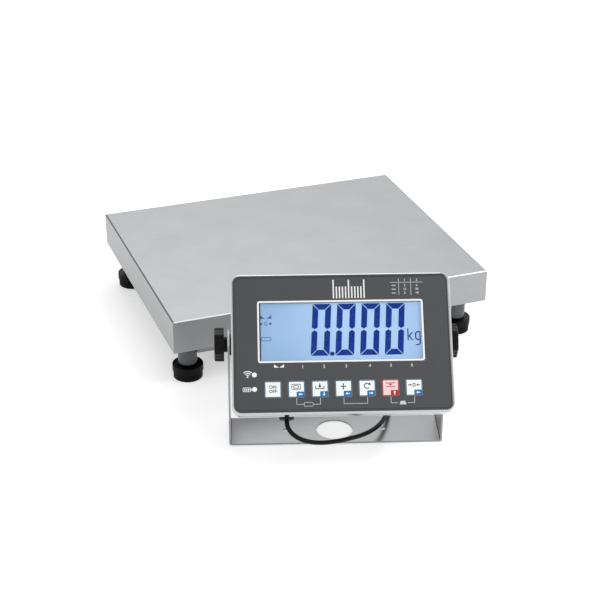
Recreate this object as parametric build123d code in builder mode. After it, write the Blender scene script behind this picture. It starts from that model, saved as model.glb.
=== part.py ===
from build123d import *
from math import cos, radians, sin, tan
import os

# Platform scale: a weighing platform on four levelling feet, and a display that tilts in its own stand.
# Millimetres, +Z up. The origin is the middle of the weighing plate's top face, and the floor lies below it.
# The display is drawn in its stand's frame (X along the pivot, Y to the back, Z up) and placed as one group.

# Weighing plate: a folded sheet-metal pan
platform_width = 400.0
platform_depth = 320.0
platform_height = 91.5
skirt_depth = 41.0
plate_sheet = 1.5
plate_bend = 2.2

# Upper frame that carries the plate on rubber buffers
buffer_height = 4.0
buffer_diameter = 20.0
buffer_inset = 14.0
upper_height = 12.0
upper_sheet = 3.0
arm_width = 20.0
arm_wall = 1.5
arm_inset = 25.0
arm_length = 280.0

# Load cell, a block with two joined bores, bolted at one end below and at the other above
cell_length = 130.0
cell_width = 30.0
cell_height = 24.0
cell_bore = 17.0
cell_bore_spacing = 30.0
cell_slot = 5.0
cell_cover_length = 64.0
cell_cover_sheet = 0.8
cell_cover_rim = 2.0
spacer_height = 3.0
spacer_length = 34.0
cell_bolt = 6.0
cell_bolt_spacing = 15.0
cell_bolt_edge = 10.0
cell_bolt_grip = 14.0
cell_bolt_end = 1.0
cell_bolt_head = 10.0
cell_bolt_head_height = 5.5
thread_clearance = 0.05

# Base frame of square tube with a folded cross beam
beam_width = 90.0
beam_height = 10.0
beam_sheet = 3.0
rail_width = 20.0
rail_height = 25.0
rail_wall = 1.5
foot_inset_x = 25.0
foot_inset_y = 31.0
foot_tube_diameter = 23.0
foot_tube_wall = 2.0
foot_tube_bottom = 20.0
foot_plug_height = 14.0

# Overload stops: screws that stand on the cross rails just under the upper arms
stop_gap = 0.8
stop_diameter = 8.0
stop_nut_height = 5.0
stop_nut_width = 13.0

# Levelling feet
pad_diameter = 35.0
pad_height = 8.0
pad_edge = 1.6
disc_diameter = 37.0
disc_height = 9.0
disc_gap = 0.6
disc_notches = 24
notch_diameter = 2.4
stud_diameter = 10.0
stud_length = 43.0
stud_seat = 5.0
foot_running_gap = 0.05

# Spirit level on the rear rail
level_diameter = 18.0
level_height = 9.0
vial_diameter = 13.0
vial_height = 5.0

# Display stand: one strip of sheet bent to a U
stand_x = -63.3
stand_y = -329.1
stand_turn = -17.8
arm_gap = 5.5
stand_depth = 54.0
stand_sheet = 2.0
stand_bend = 3.0
stand_side_height = 34.0
pivot_height = 113.3
arm_end_radius = 16.0
stand_hole = 41.0
stand_screw_hole = 6.0
stand_screw_spacing = 110.0

# Display housing, seen from the front, and its seat on the pivot
tilt_back = 41.8
head_offset = 3.7
housing_width = 236.0
housing_height = 153.0
housing_corner = 10.0
housing_depth = 66.0
frame_depth = 16.0
frame_wall = 2.5
frame_edge = 3.6
frame_ledge = 3.0
frame_face = 3.0
rear_inset_x = 7.0
rear_inset_y = 8.0
rear_corner = 24.0
rear_wall = 2.5
rear_edge = 5.0
flange_thickness = 3.0
flange_recess = 1.0
flange_clearance = 0.3
gasket_thickness = 1.0
gasket_width = 2.4
pivot_depth = 50.0
pivot_above_middle = 11.0
housing_screw = 3.0
housing_screw_head = 5.6
housing_screw_inset = 10.8
screw_post_diameter = 8.0
screw_hold = 7.0
screw_clearance = 0.2

# Operating panel
panel_border = 4.6
panel_corner = 6.0
panel_recess = 1.0
panel_sheet = 0.8
panel_clearance = 0.2
window_width = 177.0
window_height = 67.0
window_above_bottom = 89.2
window_rest = 2.0
key_count = 7
key_pitch = 24.9
key_size = 17.8
key_clearance = 0.2
key_corner = 1.5
key_cap = 2.4
key_travel = 0.4
key_above_bottom = 26.7
plunger_diameter = 5.0
dome_diameter = 9.0
dome_height = 0.6
dome_gap = 0.5
light_diameter = 5.6
light_x = -94.0
light_above_bottom = 27.2
light_pitch = 15.6

# Inside the display
lcd_margin = 4.5
lcd_thickness = 3.0
board_thickness = 1.6
board_gap = 5.0
board_corner = 8.0
board_post_diameter = 7.0
board_post_inset = 5.5
display_stack = 8.0
main_board_gap = 13.5
main_board_depth = 34.0
battery_width = 120.0
battery_height = 62.0
battery_thickness = 24.0
battery_corner = 3.0

# Pivot hardware
boss_diameter = 16.0
boss_neck = 12.0
boss_length = 12.0
clamp_stud = 8.0
clamp_stud_hold = 10.0
stand_hole_clearance = 0.3
washer_diameter = 24.0
pivot_gap = 0.1
knob_hub_diameter = 17.0
knob_hub_length = 4.0
knob_grip_length = 10.5
knob_grip_diameter = 33.0
knob_lobes = 6
knob_lobe_diameter = 11.0
knob_edge = 2.0
knob_width = 37.0
knob_stud_seat = 9.0

# Cable, its glands and the coil that takes up the spare length
cable_diameter = 5.0
lead_diameter = 4.0
gland_diameter = 18.5
gland_length = 9.0
gland_collar = 3.0
gland_thread = 10.0
gland_tail = 6.0
display_gland_x = -60.0
display_gland_depth = 30.0
platform_gland_x = -60.0
platform_gland_up = 7.0
platform_gland_diameter = 14.0
platform_gland_length = 17.5
lead_hole = 6.0
coil_middle = (30.0, 112.0)
coil_radius = 30.0
coil_columns = 4
coil_layers = 2
coil_play = 0.5
coil_edge = 2.4
tie_width = 4.0
tie_sheet = 1.1
tie_room = 0.6

# Routes, as points in the display stand's frame for the cable and in the platform's for the cell's lead
display_run = [
    (-56.3, -46.9, 60.6), (-56.3, -51.2, 55.8), (-52.4, -55.8, 51.0), (-47.0, -58.4, 47.0),
    (-40.2, -58.9, 43.0), (-31.1, -56.5, 38.5), (-19.3, -50.3, 33.3), (-5.4, -41.7, 28.9),
    (11.8, -29.5, 24.6), (28.0, -14.0, 19.1), (42.5, 3.9, 15.0), (53.5, 23.7, 12.3),
    (60.8, 46.2, 9.0), (65.6, 69.0, 5.4), (67.4, 87.0, 3.8), (67.5, 102.0, 3.7),
]
platform_run = [
    (29.0, 149.5, 8.8), (14.6, 149.5, 8.9), (-1.7, 141.4, 10.8), (-16.8, 132.8, 24.1),
    (-33.2, 137.0, 35.2), (-44.7, 150.1, 41.0), (-49.6, 165.3, 41.0),
]
cell_run = [
    (-65.0, 0.0, 59.0), (-79.8, 0.0, 59.0), (-91.8, -6.5, 53.0), (-97.3, -19.7, 47.6),
    (-95.5, -36.5, 46.2), (-88.0, -53.5, 46.3), (-78.0, -70.5, 44.6), (-68.0, -88.0, 42.0),
    (-61.5, -104.0, 41.0), (-60.0, -119.0, 41.0), (-60.0, -131.5, 41.0),
]

# Heights above the floor that follow from the stack under the plate
plate_underside = platform_height - plate_sheet
upper_top = plate_underside - buffer_height
upper_bottom = upper_top - upper_height
cell_top = upper_bottom - spacer_height
cell_bottom = cell_top - cell_height
beam_top = cell_bottom - spacer_height
rail_bottom = beam_top - beam_height
rail_top = rail_bottom + rail_height
cell_middle = (cell_bottom + cell_top) / 2

# Sizes and places that follow from the values above
foot_x = platform_width / 2 - foot_inset_x
foot_y = platform_depth / 2 - foot_inset_y
arm_span = 2 * (foot_x - arm_inset)
disc_bottom = pad_height + disc_gap
disc_top = disc_bottom + disc_height
bolt_middle = cell_length / 2 - cell_bolt_edge - cell_bolt_spacing / 2
rear_width = housing_width - 2 * rear_inset_x
rear_height = housing_height - 2 * rear_inset_y
stand_width = rear_width + 2 * (arm_gap + stand_sheet)
inside_width = rear_width - 2 * rear_wall
inside_height = rear_height - 2 * rear_wall
board_width = inside_width - 2 * board_gap
board_height = inside_height - 2 * board_gap
main_board_width = inside_width - 2 * main_board_gap
main_board_height = inside_height - 2 * main_board_gap
flange_back = frame_depth - flange_recess
flange_front = flange_back - flange_thickness
ledge_depth = flange_front - gasket_thickness
face_back = panel_recess + frame_face
board_front = face_back + display_stack
rear_floor = housing_depth - rear_wall
key_hole = key_size + 2 * key_clearance
bottom_edge = -housing_height / 2
window_up = bottom_edge + window_above_bottom
key_row = bottom_edge + key_above_bottom
lower_light = bottom_edge + light_above_bottom
light_rows = (lower_light, lower_light + light_pitch)
stand_top = pivot_height + arm_end_radius

# Places
floor = Plane.XY.offset(-platform_height)
stand = Location((stand_x, stand_y, -platform_height), (0, 0, stand_turn))
pivot_back = stand_depth / 2
head = stand * Location((head_offset, pivot_back, pivot_height), (-tilt_back, 0, 0))


def placed(place, origin, x_dir, z_dir):
    """Plane with that origin and those directions in the frame of place."""
    return Plane(place * Plane(origin=origin, x_dir=x_dir, z_dir=z_dir).location)


face = placed(head, (0, -pivot_depth, -pivot_above_middle), (1, 0, 0), (0, -1, 0))


def above(height):
    """Level plane at that height above the floor."""
    return floor.offset(height)


def into(depth):
    """Plane parallel to the display's face, that deep behind it."""
    return face.offset(-depth)


def at_face(x, y, depth, x_dir, z_dir):
    """Plane in the display's own axes, at a point of its face and a depth behind it."""
    corner = (x, depth - pivot_depth, y - pivot_above_middle)
    return placed(head, corner, x_dir, z_dir)


def on_side(side):
    """Plane on the outer face of a stand arm, around the pivot; side is -1 on the left."""
    corner = (side * stand_width / 2, pivot_back, pivot_height)
    return placed(stand, corner, (0, 1, 0), (side, 0, 0))


def in_corners(width, height, inset):
    """Four places near the corners of a rectangle."""
    return GridLocations(width - 2 * inset, height - 2 * inset, 2, 2)


def side_wall(side):
    """Plane on the outside of the housing, around the pivot; side is -1 on the left."""
    return at_face(side * rear_width / 2, pivot_above_middle, pivot_depth, (0, 1, 0), (side, 0, 0))


def pivot_space(side):
    """Room between a stand arm and the housing's side."""
    return stand_width / 2 - stand_sheet - side * head_offset - rear_width / 2


def bend_radii(points):
    """The largest arc that both runs at each corner of a route leave room for."""
    corners = [Vector(*point) for point in points]
    radii = []
    for before, corner, after in zip(corners, corners[1:], corners[2:]):
        shorter = min((corner - before).length, (after - corner).length)
        turn = (corner - before).get_angle(after - corner)
        radii.append(0.45 * shorter / tan(radians(turn / 2)))
    return radii


def tube(place, points, diameter):
    """Round cord of straight runs and tangent arcs through the points, in the frame of place."""
    radii = bend_radii(points)
    print("Bend radii", [round(radius, 1) for radius in radii])
    route_points = [(place * Location(point)).position for point in points]
    with BuildPart() as cord:
        with BuildLine() as route:
            FilletPolyline(*route_points, radius=radii)
        with BuildSketch(Plane(origin=route.line @ 0, z_dir=route.line % 0)):
            Circle(diameter / 2)
        sweep(path=route.line)
    return cord


def cell_bolt_pair(side, radius):
    """Two round profiles at one end of the load cell."""
    with Locations((side * bolt_middle, 0)):
        with GridLocations(cell_bolt_spacing, 0, 2, 1):
            Circle(radius)


def cable_gland(seat, diameter, length, bore, wall):
    """Hexagonal collar and dome on the outside of a wall, and a threaded tail through it."""
    outward_axis = Axis(seat.origin, seat.z_dir)
    with BuildPart() as gland:
        with BuildSketch(seat):
            RegularPolygon(diameter / 2, 6)
        extrude(amount=gland_collar)
        with BuildSketch(seat.offset(gland_collar)):
            Circle(diameter / 2 * cos(radians(30)))
        extrude(amount=length - gland_collar)
        fillet(gland.faces().sort_by(outward_axis)[-1].edges(), length / 4)
        with BuildSketch(seat):
            Circle(gland_thread / 2)
        extrude(amount=-wall - gland_tail)
        with BuildSketch(seat.offset(-wall - gland_tail)):
            Circle(bore / 2)
        extrude(amount=gland_tail, mode=Mode.SUBTRACT)
    return gland


def finish(piece, name):
    """Names the piece and writes it."""
    piece.part.label = name
    export_step(piece.part, "parts/" + name + ".step")


os.makedirs("parts", exist_ok=True)

# Weighing plate: the sheet is folded down on four sides, with sharp upright corners
with BuildPart() as weighing_plate:
    with BuildSketch(Plane.XY):
        Rectangle(platform_width, platform_depth)
    extrude(amount=-skirt_depth)
    fillet(weighing_plate.faces().sort_by(Axis.Z)[-1].edges(), plate_bend)
    offset(amount=-plate_sheet, openings=weighing_plate.faces().sort_by(Axis.Z)[0])
finish(weighing_plate, "weighing_plate")

# Rubber buffers near the ends of both upper arms
with BuildPart() as plate_buffers:
    with BuildSketch(above(upper_top)):
        with GridLocations(arm_span, arm_length - 2 * buffer_inset, 2, 2):
            Circle(buffer_diameter / 2)
    extrude(amount=buffer_height)
    chamfer(plate_buffers.faces().group_by(Axis.Z)[-1].edges(), buffer_height / 4)
finish(plate_buffers, "plate_buffers")

# Upper beam: a channel that opens upwards, with two of the cell's bolt heads inside it
upper_beam_length = arm_span - arm_width
with BuildPart() as upper_beam:
    with BuildSketch(above(upper_bottom)):
        Rectangle(upper_beam_length, beam_width)
    extrude(amount=upper_height)
    with BuildSketch(above(upper_bottom + upper_sheet)):
        Rectangle(upper_beam_length, beam_width - 2 * upper_sheet)
    extrude(amount=upper_height, mode=Mode.SUBTRACT)
    with BuildSketch(above(upper_bottom)):
        cell_bolt_pair(1, cell_bolt / 2 + thread_clearance)
    extrude(amount=upper_sheet, mode=Mode.SUBTRACT)
finish(upper_beam, "upper_beam")

# Upper arms: flat tubes welded to both ends of the upper beam
for side, name in ((-1, "upper_arm_left"), (1, "upper_arm_right")):
    with BuildPart() as upper_arm:
        with BuildSketch(above(upper_bottom)):
            with Locations((side * arm_span / 2, 0)):
                Rectangle(arm_width, arm_length)
        extrude(amount=upper_height)
        with BuildSketch(above(upper_bottom + arm_wall)):
            with Locations((side * arm_span / 2, 0)):
                Rectangle(arm_width - 2 * arm_wall, arm_length)
        extrude(amount=upper_height - 2 * arm_wall, mode=Mode.SUBTRACT)
    finish(upper_arm, name)

# Load cell: two bores joined by a slot leave the four thin places that bend under the load
across_cell = Plane(origin=above(cell_middle).origin, x_dir=(1, 0, 0), z_dir=(0, -1, 0))
with BuildPart() as load_cell:
    with BuildSketch(above(cell_bottom)):
        Rectangle(cell_length, cell_width)
    extrude(amount=cell_height)
    with BuildSketch(across_cell):
        with GridLocations(cell_bore_spacing, 0, 2, 1):
            Circle(cell_bore / 2)
        Rectangle(cell_bore_spacing, cell_slot)
    extrude(amount=cell_width / 2, both=True, mode=Mode.SUBTRACT)
    for side, start in ((-1, cell_bottom), (1, cell_top - cell_bolt_grip)):
        with BuildSketch(above(start)):
            cell_bolt_pair(side, cell_bolt / 2 + thread_clearance)
        extrude(amount=cell_bolt_grip, mode=Mode.SUBTRACT)
finish(load_cell, "load_cell")

# Thin covers that seal the bores on both sides
with BuildPart() as load_cell_covers:
    for side in (-1, 1):
        with BuildSketch(across_cell.offset(side * cell_width / 2)):
            RectangleRounded(cell_cover_length, cell_height - cell_cover_rim, cell_cover_rim)
        extrude(amount=side * cell_cover_sheet)
finish(load_cell_covers, "load_cell_covers")

# Spacer blocks: one under the fixed end of the cell, one on its free end
with BuildPart() as load_cell_spacers:
    for side, start in ((-1, beam_top), (1, cell_top)):
        with BuildSketch(above(start)):
            with Locations((side * (cell_length - spacer_length) / 2, 0)):
                Rectangle(spacer_length, cell_width)
            with Locations((side * bolt_middle, 0)):
                with GridLocations(cell_bolt_spacing, 0, 2, 1):
                    Circle(cell_bolt / 2 + thread_clearance, mode=Mode.SUBTRACT)
        extrude(amount=spacer_height)
finish(load_cell_spacers, "load_cell_spacers")

# Socket-head bolts: two from under the base beam, two from inside the upper beam
with BuildPart() as load_cell_bolts:
    for side, seat, way in ((-1, beam_top - beam_sheet, -1), (1, upper_bottom + upper_sheet, 1)):
        with BuildSketch(above(seat)):
            cell_bolt_pair(side, cell_bolt / 2)
        extrude(amount=-way * (upper_sheet + spacer_height + cell_bolt_grip - cell_bolt_end))
        with BuildSketch(above(seat)):
            cell_bolt_pair(side, cell_bolt_head / 2)
        extrude(amount=way * cell_bolt_head_height)
        with BuildSketch(above(seat + way * cell_bolt_head_height)):
            with Locations((side * bolt_middle, 0)):
                with GridLocations(cell_bolt_spacing, 0, 2, 1):
                    RegularPolygon(cell_bolt / 2, 6)
        extrude(amount=-way * cell_bolt_head_height / 2, mode=Mode.SUBTRACT)
finish(load_cell_bolts, "load_cell_bolts")

# Base beam: a channel that opens downwards, between the side rails
rail_inner = foot_x - rail_width / 2
with BuildPart() as base_beam:
    with BuildSketch(above(rail_bottom)):
        Rectangle(2 * rail_inner, beam_width)
    extrude(amount=beam_height)
    with BuildSketch(above(rail_bottom)):
        Rectangle(2 * rail_inner, beam_width - 2 * beam_sheet)
    extrude(amount=beam_height - beam_sheet, mode=Mode.SUBTRACT)
    with BuildSketch(above(beam_top - beam_sheet)):
        cell_bolt_pair(-1, cell_bolt / 2 + thread_clearance)
    extrude(amount=beam_sheet, mode=Mode.SUBTRACT)
finish(base_beam, "base_beam")

# Side rails: tubes along the sides, their ends cut to fit round the foot tubes
for side, name in ((-1, "base_rail_left"), (1, "base_rail_right")):
    with BuildPart() as side_rail:
        with BuildSketch(above(rail_bottom)):
            with Locations((side * foot_x, 0)):
                Rectangle(rail_width, 2 * foot_y)
        extrude(amount=rail_height)
        with BuildSketch(above(rail_bottom + rail_wall)):
            with Locations((side * foot_x, 0)):
                Rectangle(rail_width - 2 * rail_wall, 2 * foot_y)
        extrude(amount=rail_height - 2 * rail_wall, mode=Mode.SUBTRACT)
        with BuildSketch(above(rail_bottom)):
            with Locations((side * foot_x, -foot_y), (side * foot_x, foot_y)):
                Circle(foot_tube_diameter / 2)
        extrude(amount=rail_height, mode=Mode.SUBTRACT)
    finish(side_rail, name)

# Cross rails: the front one lets the cell's lead through, and both carry two overload stops
gland_seat = Plane(
    origin=(platform_gland_x, -foot_y - rail_width / 2, above(rail_bottom + platform_gland_up).origin.Z),
    x_dir=(1, 0, 0),
    z_dir=(0, -1, 0),
)
for side, name in ((-1, "base_rail_front"), (1, "base_rail_rear")):
    with BuildPart() as cross_rail:
        with BuildSketch(above(rail_bottom)):
            with Locations((0, side * foot_y)):
                Rectangle(2 * rail_inner, rail_width)
        extrude(amount=rail_height)
        with BuildSketch(above(rail_bottom + rail_wall)):
            with Locations((0, side * foot_y)):
                Rectangle(2 * rail_inner, rail_width - 2 * rail_wall)
        extrude(amount=rail_height - 2 * rail_wall, mode=Mode.SUBTRACT)
        with BuildSketch(above(rail_bottom)):
            with Locations((-foot_x, side * foot_y), (foot_x, side * foot_y)):
                Circle(foot_tube_diameter / 2)
        extrude(amount=rail_height, mode=Mode.SUBTRACT)
        with BuildSketch(above(rail_top - rail_wall)):
            with Locations((0, side * foot_y)):
                with GridLocations(arm_span, 0, 2, 1):
                    Circle(stop_diameter / 2 + thread_clearance)
        extrude(amount=rail_wall, mode=Mode.SUBTRACT)
        if side < 0:
            with BuildSketch(gland_seat):
                Circle(gland_thread / 2)
            extrude(amount=-rail_wall, mode=Mode.SUBTRACT)
            with BuildSketch(gland_seat.offset(-rail_width)):
                Circle(lead_hole / 2)
            extrude(amount=rail_wall, mode=Mode.SUBTRACT)
    finish(cross_rail, name)

# Foot tubes: corner posts with a threaded plug in the lower end
with BuildPart() as foot_tubes:
    with BuildSketch(above(foot_tube_bottom)):
        with GridLocations(2 * foot_x, 2 * foot_y, 2, 2):
            Circle(foot_tube_diameter / 2)
    extrude(amount=rail_top - foot_tube_bottom)
    with BuildSketch(above(foot_tube_bottom + foot_plug_height)):
        with GridLocations(2 * foot_x, 2 * foot_y, 2, 2):
            Circle(foot_tube_diameter / 2 - foot_tube_wall)
    extrude(amount=rail_top - foot_tube_bottom - foot_plug_height - foot_tube_wall, mode=Mode.SUBTRACT)
    with BuildSketch(above(foot_tube_bottom)):
        with GridLocations(2 * foot_x, 2 * foot_y, 2, 2):
            Circle(stud_diameter / 2 + foot_running_gap)
    extrude(amount=foot_plug_height, mode=Mode.SUBTRACT)
finish(foot_tubes, "foot_tubes")

# Overload stops: a screw with a lock nut under each end of the upper arms
with BuildPart() as overload_stops:
    with BuildSketch(above(rail_top)):
        with GridLocations(arm_span, 2 * foot_y, 2, 2):
            RegularPolygon(stop_nut_width / 2, 6, major_radius=False)
    extrude(amount=stop_nut_height)
    with BuildSketch(above(rail_top - stop_nut_height)):
        with GridLocations(arm_span, 2 * foot_y, 2, 2):
            Circle(stop_diameter / 2)
    extrude(amount=upper_bottom - stop_gap - rail_top + stop_nut_height)
finish(overload_stops, "overload_stops")

# Levelling feet: a pad that stands still, and a notched disc on a stud that is turned by hand
foot_places = ((-1, -1, "front_left"), (1, -1, "front_right"), (-1, 1, "rear_left"), (1, 1, "rear_right"))
for side, end, name in foot_places:
    middle = (side * foot_x, end * foot_y)
    with BuildPart() as foot_pad:
        with BuildSketch(above(0)):
            with Locations(middle):
                Circle(pad_diameter / 2)
        extrude(amount=pad_height)
        fillet(foot_pad.faces().sort_by(Axis.Z)[-1].edges(), pad_edge)
        fillet(foot_pad.faces().sort_by(Axis.Z)[0].edges(), pad_edge / 2)
        with BuildSketch(above(pad_height - stud_seat)):
            with Locations(middle):
                Circle(stud_diameter / 2 + foot_running_gap)
        extrude(amount=stud_seat, mode=Mode.SUBTRACT)
    finish(foot_pad, "foot_pad_" + name)
    with BuildPart() as foot_screw:
        with BuildSketch(above(disc_bottom)):
            with Locations(middle):
                Circle(disc_diameter / 2)
        extrude(amount=disc_height)
        fillet(foot_screw.edges(), pad_edge / 2)
        with BuildSketch(above(disc_bottom)):
            with Locations(middle):
                with PolarLocations(disc_diameter / 2 + notch_diameter / 4, disc_notches):
                    Circle(notch_diameter / 2)
        extrude(amount=disc_height, mode=Mode.SUBTRACT)
        with BuildSketch(above(pad_height - stud_seat)):
            with Locations(middle):
                Circle(stud_diameter / 2)
        extrude(amount=stud_length)
    finish(foot_screw, "foot_screw_" + name)

# Spirit level: a cup on the rear rail, with a domed vial in it
with BuildPart() as level_cup:
    with BuildSketch(above(rail_top)):
        with Locations((0, foot_y)):
            Circle(level_diameter / 2)
    extrude(amount=level_height)
    with BuildSketch(above(rail_top + level_height - vial_height)):
        with Locations((0, foot_y)):
            Circle(vial_diameter / 2)
    extrude(amount=vial_height, mode=Mode.SUBTRACT)
finish(level_cup, "level_cup")

with BuildPart() as level_vial:
    with BuildSketch(above(rail_top + level_height - vial_height)):
        with Locations((0, foot_y)):
            Circle(vial_diameter / 2)
    extrude(amount=vial_height)
    fillet(level_vial.faces().sort_by(Axis.Z)[-1].edges(), vial_height / 4)
finish(level_vial, "level_vial")

# Platform gland and the load cell's lead, which runs through the front rail to it
finish(
    cable_gland(gland_seat, platform_gland_diameter, platform_gland_length, lead_diameter, rail_wall),
    "platform_gland",
)
finish(tube(Location((0, 0, -platform_height)), cell_run, lead_diameter), "load_cell_lead")

# Display stand: a strip bent up at both ends, its arms narrowing to a round end about the pivot
stand_front = placed(stand, (0, 0, 0), (1, 0, 0), (0, -1, 0))
stand_left = placed(stand, (-stand_width / 2, pivot_back, 0), (0, 1, 0), (1, 0, 0))
stand_inside = stand_width - 2 * stand_sheet
with BuildPart() as display_stand:
    with BuildSketch(stand_front) as strip:
        Rectangle(stand_width, stand_top, align=(Align.CENTER, Align.MIN))
        fillet(strip.vertices().group_by(Axis.Y)[0], stand_bend)
        with Locations((0, stand_sheet)):
            Rectangle(stand_inside, stand_top, align=(Align.CENTER, Align.MIN), mode=Mode.SUBTRACT)
        fillet(strip.vertices().group_by(Axis.Y)[1], stand_bend - stand_sheet)
    extrude(amount=-stand_depth)
    with BuildSketch(stand_left):
        with Locations((0, pivot_height)):
            Circle(arm_end_radius)
        Rectangle(stand_depth, stand_side_height, align=(Align.CENTER, Align.MIN))
        make_hull()
    extrude(amount=stand_width, mode=Mode.INTERSECT)
    with BuildSketch(placed(stand, (0, pivot_back, 0), (1, 0, 0), (0, 0, 1))):
        Circle(stand_hole / 2)
        with GridLocations(stand_screw_spacing, 0, 2, 1):
            Circle(stand_screw_hole / 2)
    extrude(amount=stand_sheet, mode=Mode.SUBTRACT)
    for side in (-1, 1):
        with BuildSketch(on_side(side)):
            Circle(clamp_stud / 2 + stand_hole_clearance)
        extrude(amount=-stand_sheet, mode=Mode.SUBTRACT)
finish(display_stand, "display_stand")

# Front housing: a frame with a rounded front edge and a recess for the operating panel
outward = Axis(face.origin, face.z_dir)
with BuildPart() as front_housing:
    with BuildSketch(face):
        RectangleRounded(housing_width, housing_height, housing_corner)
    extrude(amount=-frame_depth)
    fillet(front_housing.faces().sort_by(outward)[-1].edges(), frame_edge)
    with BuildSketch(into(ledge_depth)):
        RectangleRounded(
            housing_width - 2 * frame_wall,
            housing_height - 2 * frame_wall,
            housing_corner - frame_wall,
        )
    extrude(amount=ledge_depth - frame_depth, mode=Mode.SUBTRACT)
    with BuildSketch(into(face_back)):
        RectangleRounded(
            housing_width - 2 * (frame_wall + frame_ledge),
            housing_height - 2 * (frame_wall + frame_ledge),
            housing_corner - frame_wall - frame_ledge,
        )
    extrude(amount=face_back - ledge_depth, mode=Mode.SUBTRACT)
    with BuildSketch(face):
        RectangleRounded(housing_width - 2 * panel_border, housing_height - 2 * panel_border, panel_corner)
    extrude(amount=-panel_recess, mode=Mode.SUBTRACT)
    with BuildSketch(into(panel_recess)):
        with Locations((0, window_up)):
            Rectangle(window_width - 2 * window_rest, window_height - 2 * window_rest)
        with Locations((0, key_row)):
            with GridLocations(key_pitch, 0, key_count, 1):
                RectangleRounded(key_hole, key_hole, key_corner)
        with Locations([(light_x, row) for row in light_rows]):
            Circle(light_diameter / 2)
    extrude(amount=-frame_face, mode=Mode.SUBTRACT)
    with BuildSketch(into(face_back)):
        with in_corners(board_width, board_height, board_post_inset):
            Circle(board_post_diameter / 2)
    extrude(amount=face_back - board_front)
    with BuildSketch(into(face_back)):
        with in_corners(housing_width, housing_height, housing_screw_inset):
            Circle(screw_post_diameter / 2)
    extrude(amount=face_back - flange_front)
    with BuildSketch(into(flange_front)):
        with in_corners(housing_width, housing_height, housing_screw_inset):
            Circle(housing_screw / 2 + thread_clearance)
    extrude(amount=screw_hold, mode=Mode.SUBTRACT)
finish(front_housing, "front_housing")

# Gasket between the ledge of the front housing and the flange of the rear one
flange_width = housing_width - 2 * (frame_wall + flange_clearance)
flange_height = housing_height - 2 * (frame_wall + flange_clearance)
flange_corner = housing_corner - frame_wall - flange_clearance
with BuildPart() as housing_gasket:
    with BuildSketch(into(ledge_depth)):
        RectangleRounded(flange_width, flange_height, flange_corner)
        RectangleRounded(
            flange_width - 2 * gasket_width,
            flange_height - 2 * gasket_width,
            flange_corner - gasket_width,
            mode=Mode.SUBTRACT,
        )
    extrude(amount=-gasket_thickness)
finish(housing_gasket, "housing_gasket")

# Rear housing: a moulded tray on a flange, with posts for the main board
main_board_back = main_board_depth + board_thickness
with BuildPart() as rear_housing:
    with BuildSketch(into(flange_front)):
        RectangleRounded(rear_width, rear_height, rear_corner)
    extrude(amount=flange_front - housing_depth)
    fillet(rear_housing.faces().sort_by(outward)[0].edges(), rear_edge)
    with BuildSketch(into(flange_front)):
        RectangleRounded(flange_width, flange_height, flange_corner)
    extrude(amount=-flange_thickness)
    with BuildSketch(into(flange_front)):
        RectangleRounded(inside_width, inside_height, rear_corner - rear_wall)
    extrude(amount=flange_front - rear_floor, mode=Mode.SUBTRACT)
    with BuildSketch(into(flange_front)):
        with in_corners(housing_width, housing_height, housing_screw_inset):
            Circle(housing_screw / 2 + screw_clearance)
    extrude(amount=-flange_thickness, mode=Mode.SUBTRACT)
    with BuildSketch(into(rear_floor)):
        with in_corners(main_board_width, main_board_height, board_post_inset):
            Circle(board_post_diameter / 2)
    extrude(amount=rear_floor - main_board_back)
    for side in (-1, 1):
        with BuildSketch(side_wall(side)):
            Circle(boss_neck / 2)
        extrude(amount=-rear_wall, mode=Mode.SUBTRACT)
    with BuildSketch(at_face(display_gland_x, -rear_height / 2, display_gland_depth, (1, 0, 0), (0, 0, -1))):
        Circle(gland_thread / 2)
    extrude(amount=-rear_wall, mode=Mode.SUBTRACT)
finish(rear_housing, "rear_housing")

# Corner screws that hold the two housings together
with BuildPart() as housing_screws:
    with BuildSketch(into(flange_back)):
        with in_corners(housing_width, housing_height, housing_screw_inset):
            Circle(housing_screw_head / 2)
    extrude(amount=-housing_screw)
    fillet(housing_screws.faces().group_by(outward)[0].edges(), housing_screw / 4)
    with BuildSketch(into(flange_back)):
        with in_corners(housing_width, housing_height, housing_screw_inset):
            Circle(housing_screw / 2)
    extrude(amount=flange_thickness + screw_hold - board_thickness)
finish(housing_screws, "housing_screws")

# Operating panel: a printed sheet in the recess, open at the window, the keys and the lights
with BuildPart() as operating_panel:
    with BuildSketch(into(panel_recess)):
        RectangleRounded(
            housing_width - 2 * (panel_border + panel_clearance),
            housing_height - 2 * (panel_border + panel_clearance),
            panel_corner - panel_clearance,
        )
        with Locations((0, window_up)):
            Rectangle(window_width, window_height, mode=Mode.SUBTRACT)
        with Locations((0, key_row)):
            with GridLocations(key_pitch, 0, key_count, 1):
                RectangleRounded(key_hole, key_hole, key_corner, mode=Mode.SUBTRACT)
        with Locations([(light_x, row) for row in light_rows]):
            Circle(light_diameter / 2, mode=Mode.SUBTRACT)
    extrude(amount=panel_sheet)
finish(operating_panel, "operating_panel")

# Clear pane in the panel's window
with BuildPart() as display_window:
    with BuildSketch(into(panel_recess)):
        with Locations((0, window_up)):
            Rectangle(window_width - 2 * panel_clearance, window_height - 2 * panel_clearance)
    extrude(amount=panel_sheet)
finish(display_window, "display_window")

# Liquid crystal glass and the light guide behind it
lcd_width = window_width - 2 * window_rest + 2 * lcd_margin
lcd_height = window_height - 2 * window_rest + 2 * lcd_margin
for name, front, back in (
    ("lcd_glass", face_back, face_back + lcd_thickness),
    ("lcd_backlight", face_back + lcd_thickness, board_front),
):
    with BuildPart() as lcd_layer:
        with BuildSketch(into(front)):
            with Locations((0, window_up)):
                Rectangle(lcd_width, lcd_height)
        extrude(amount=front - back)
    finish(lcd_layer, name)

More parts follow.
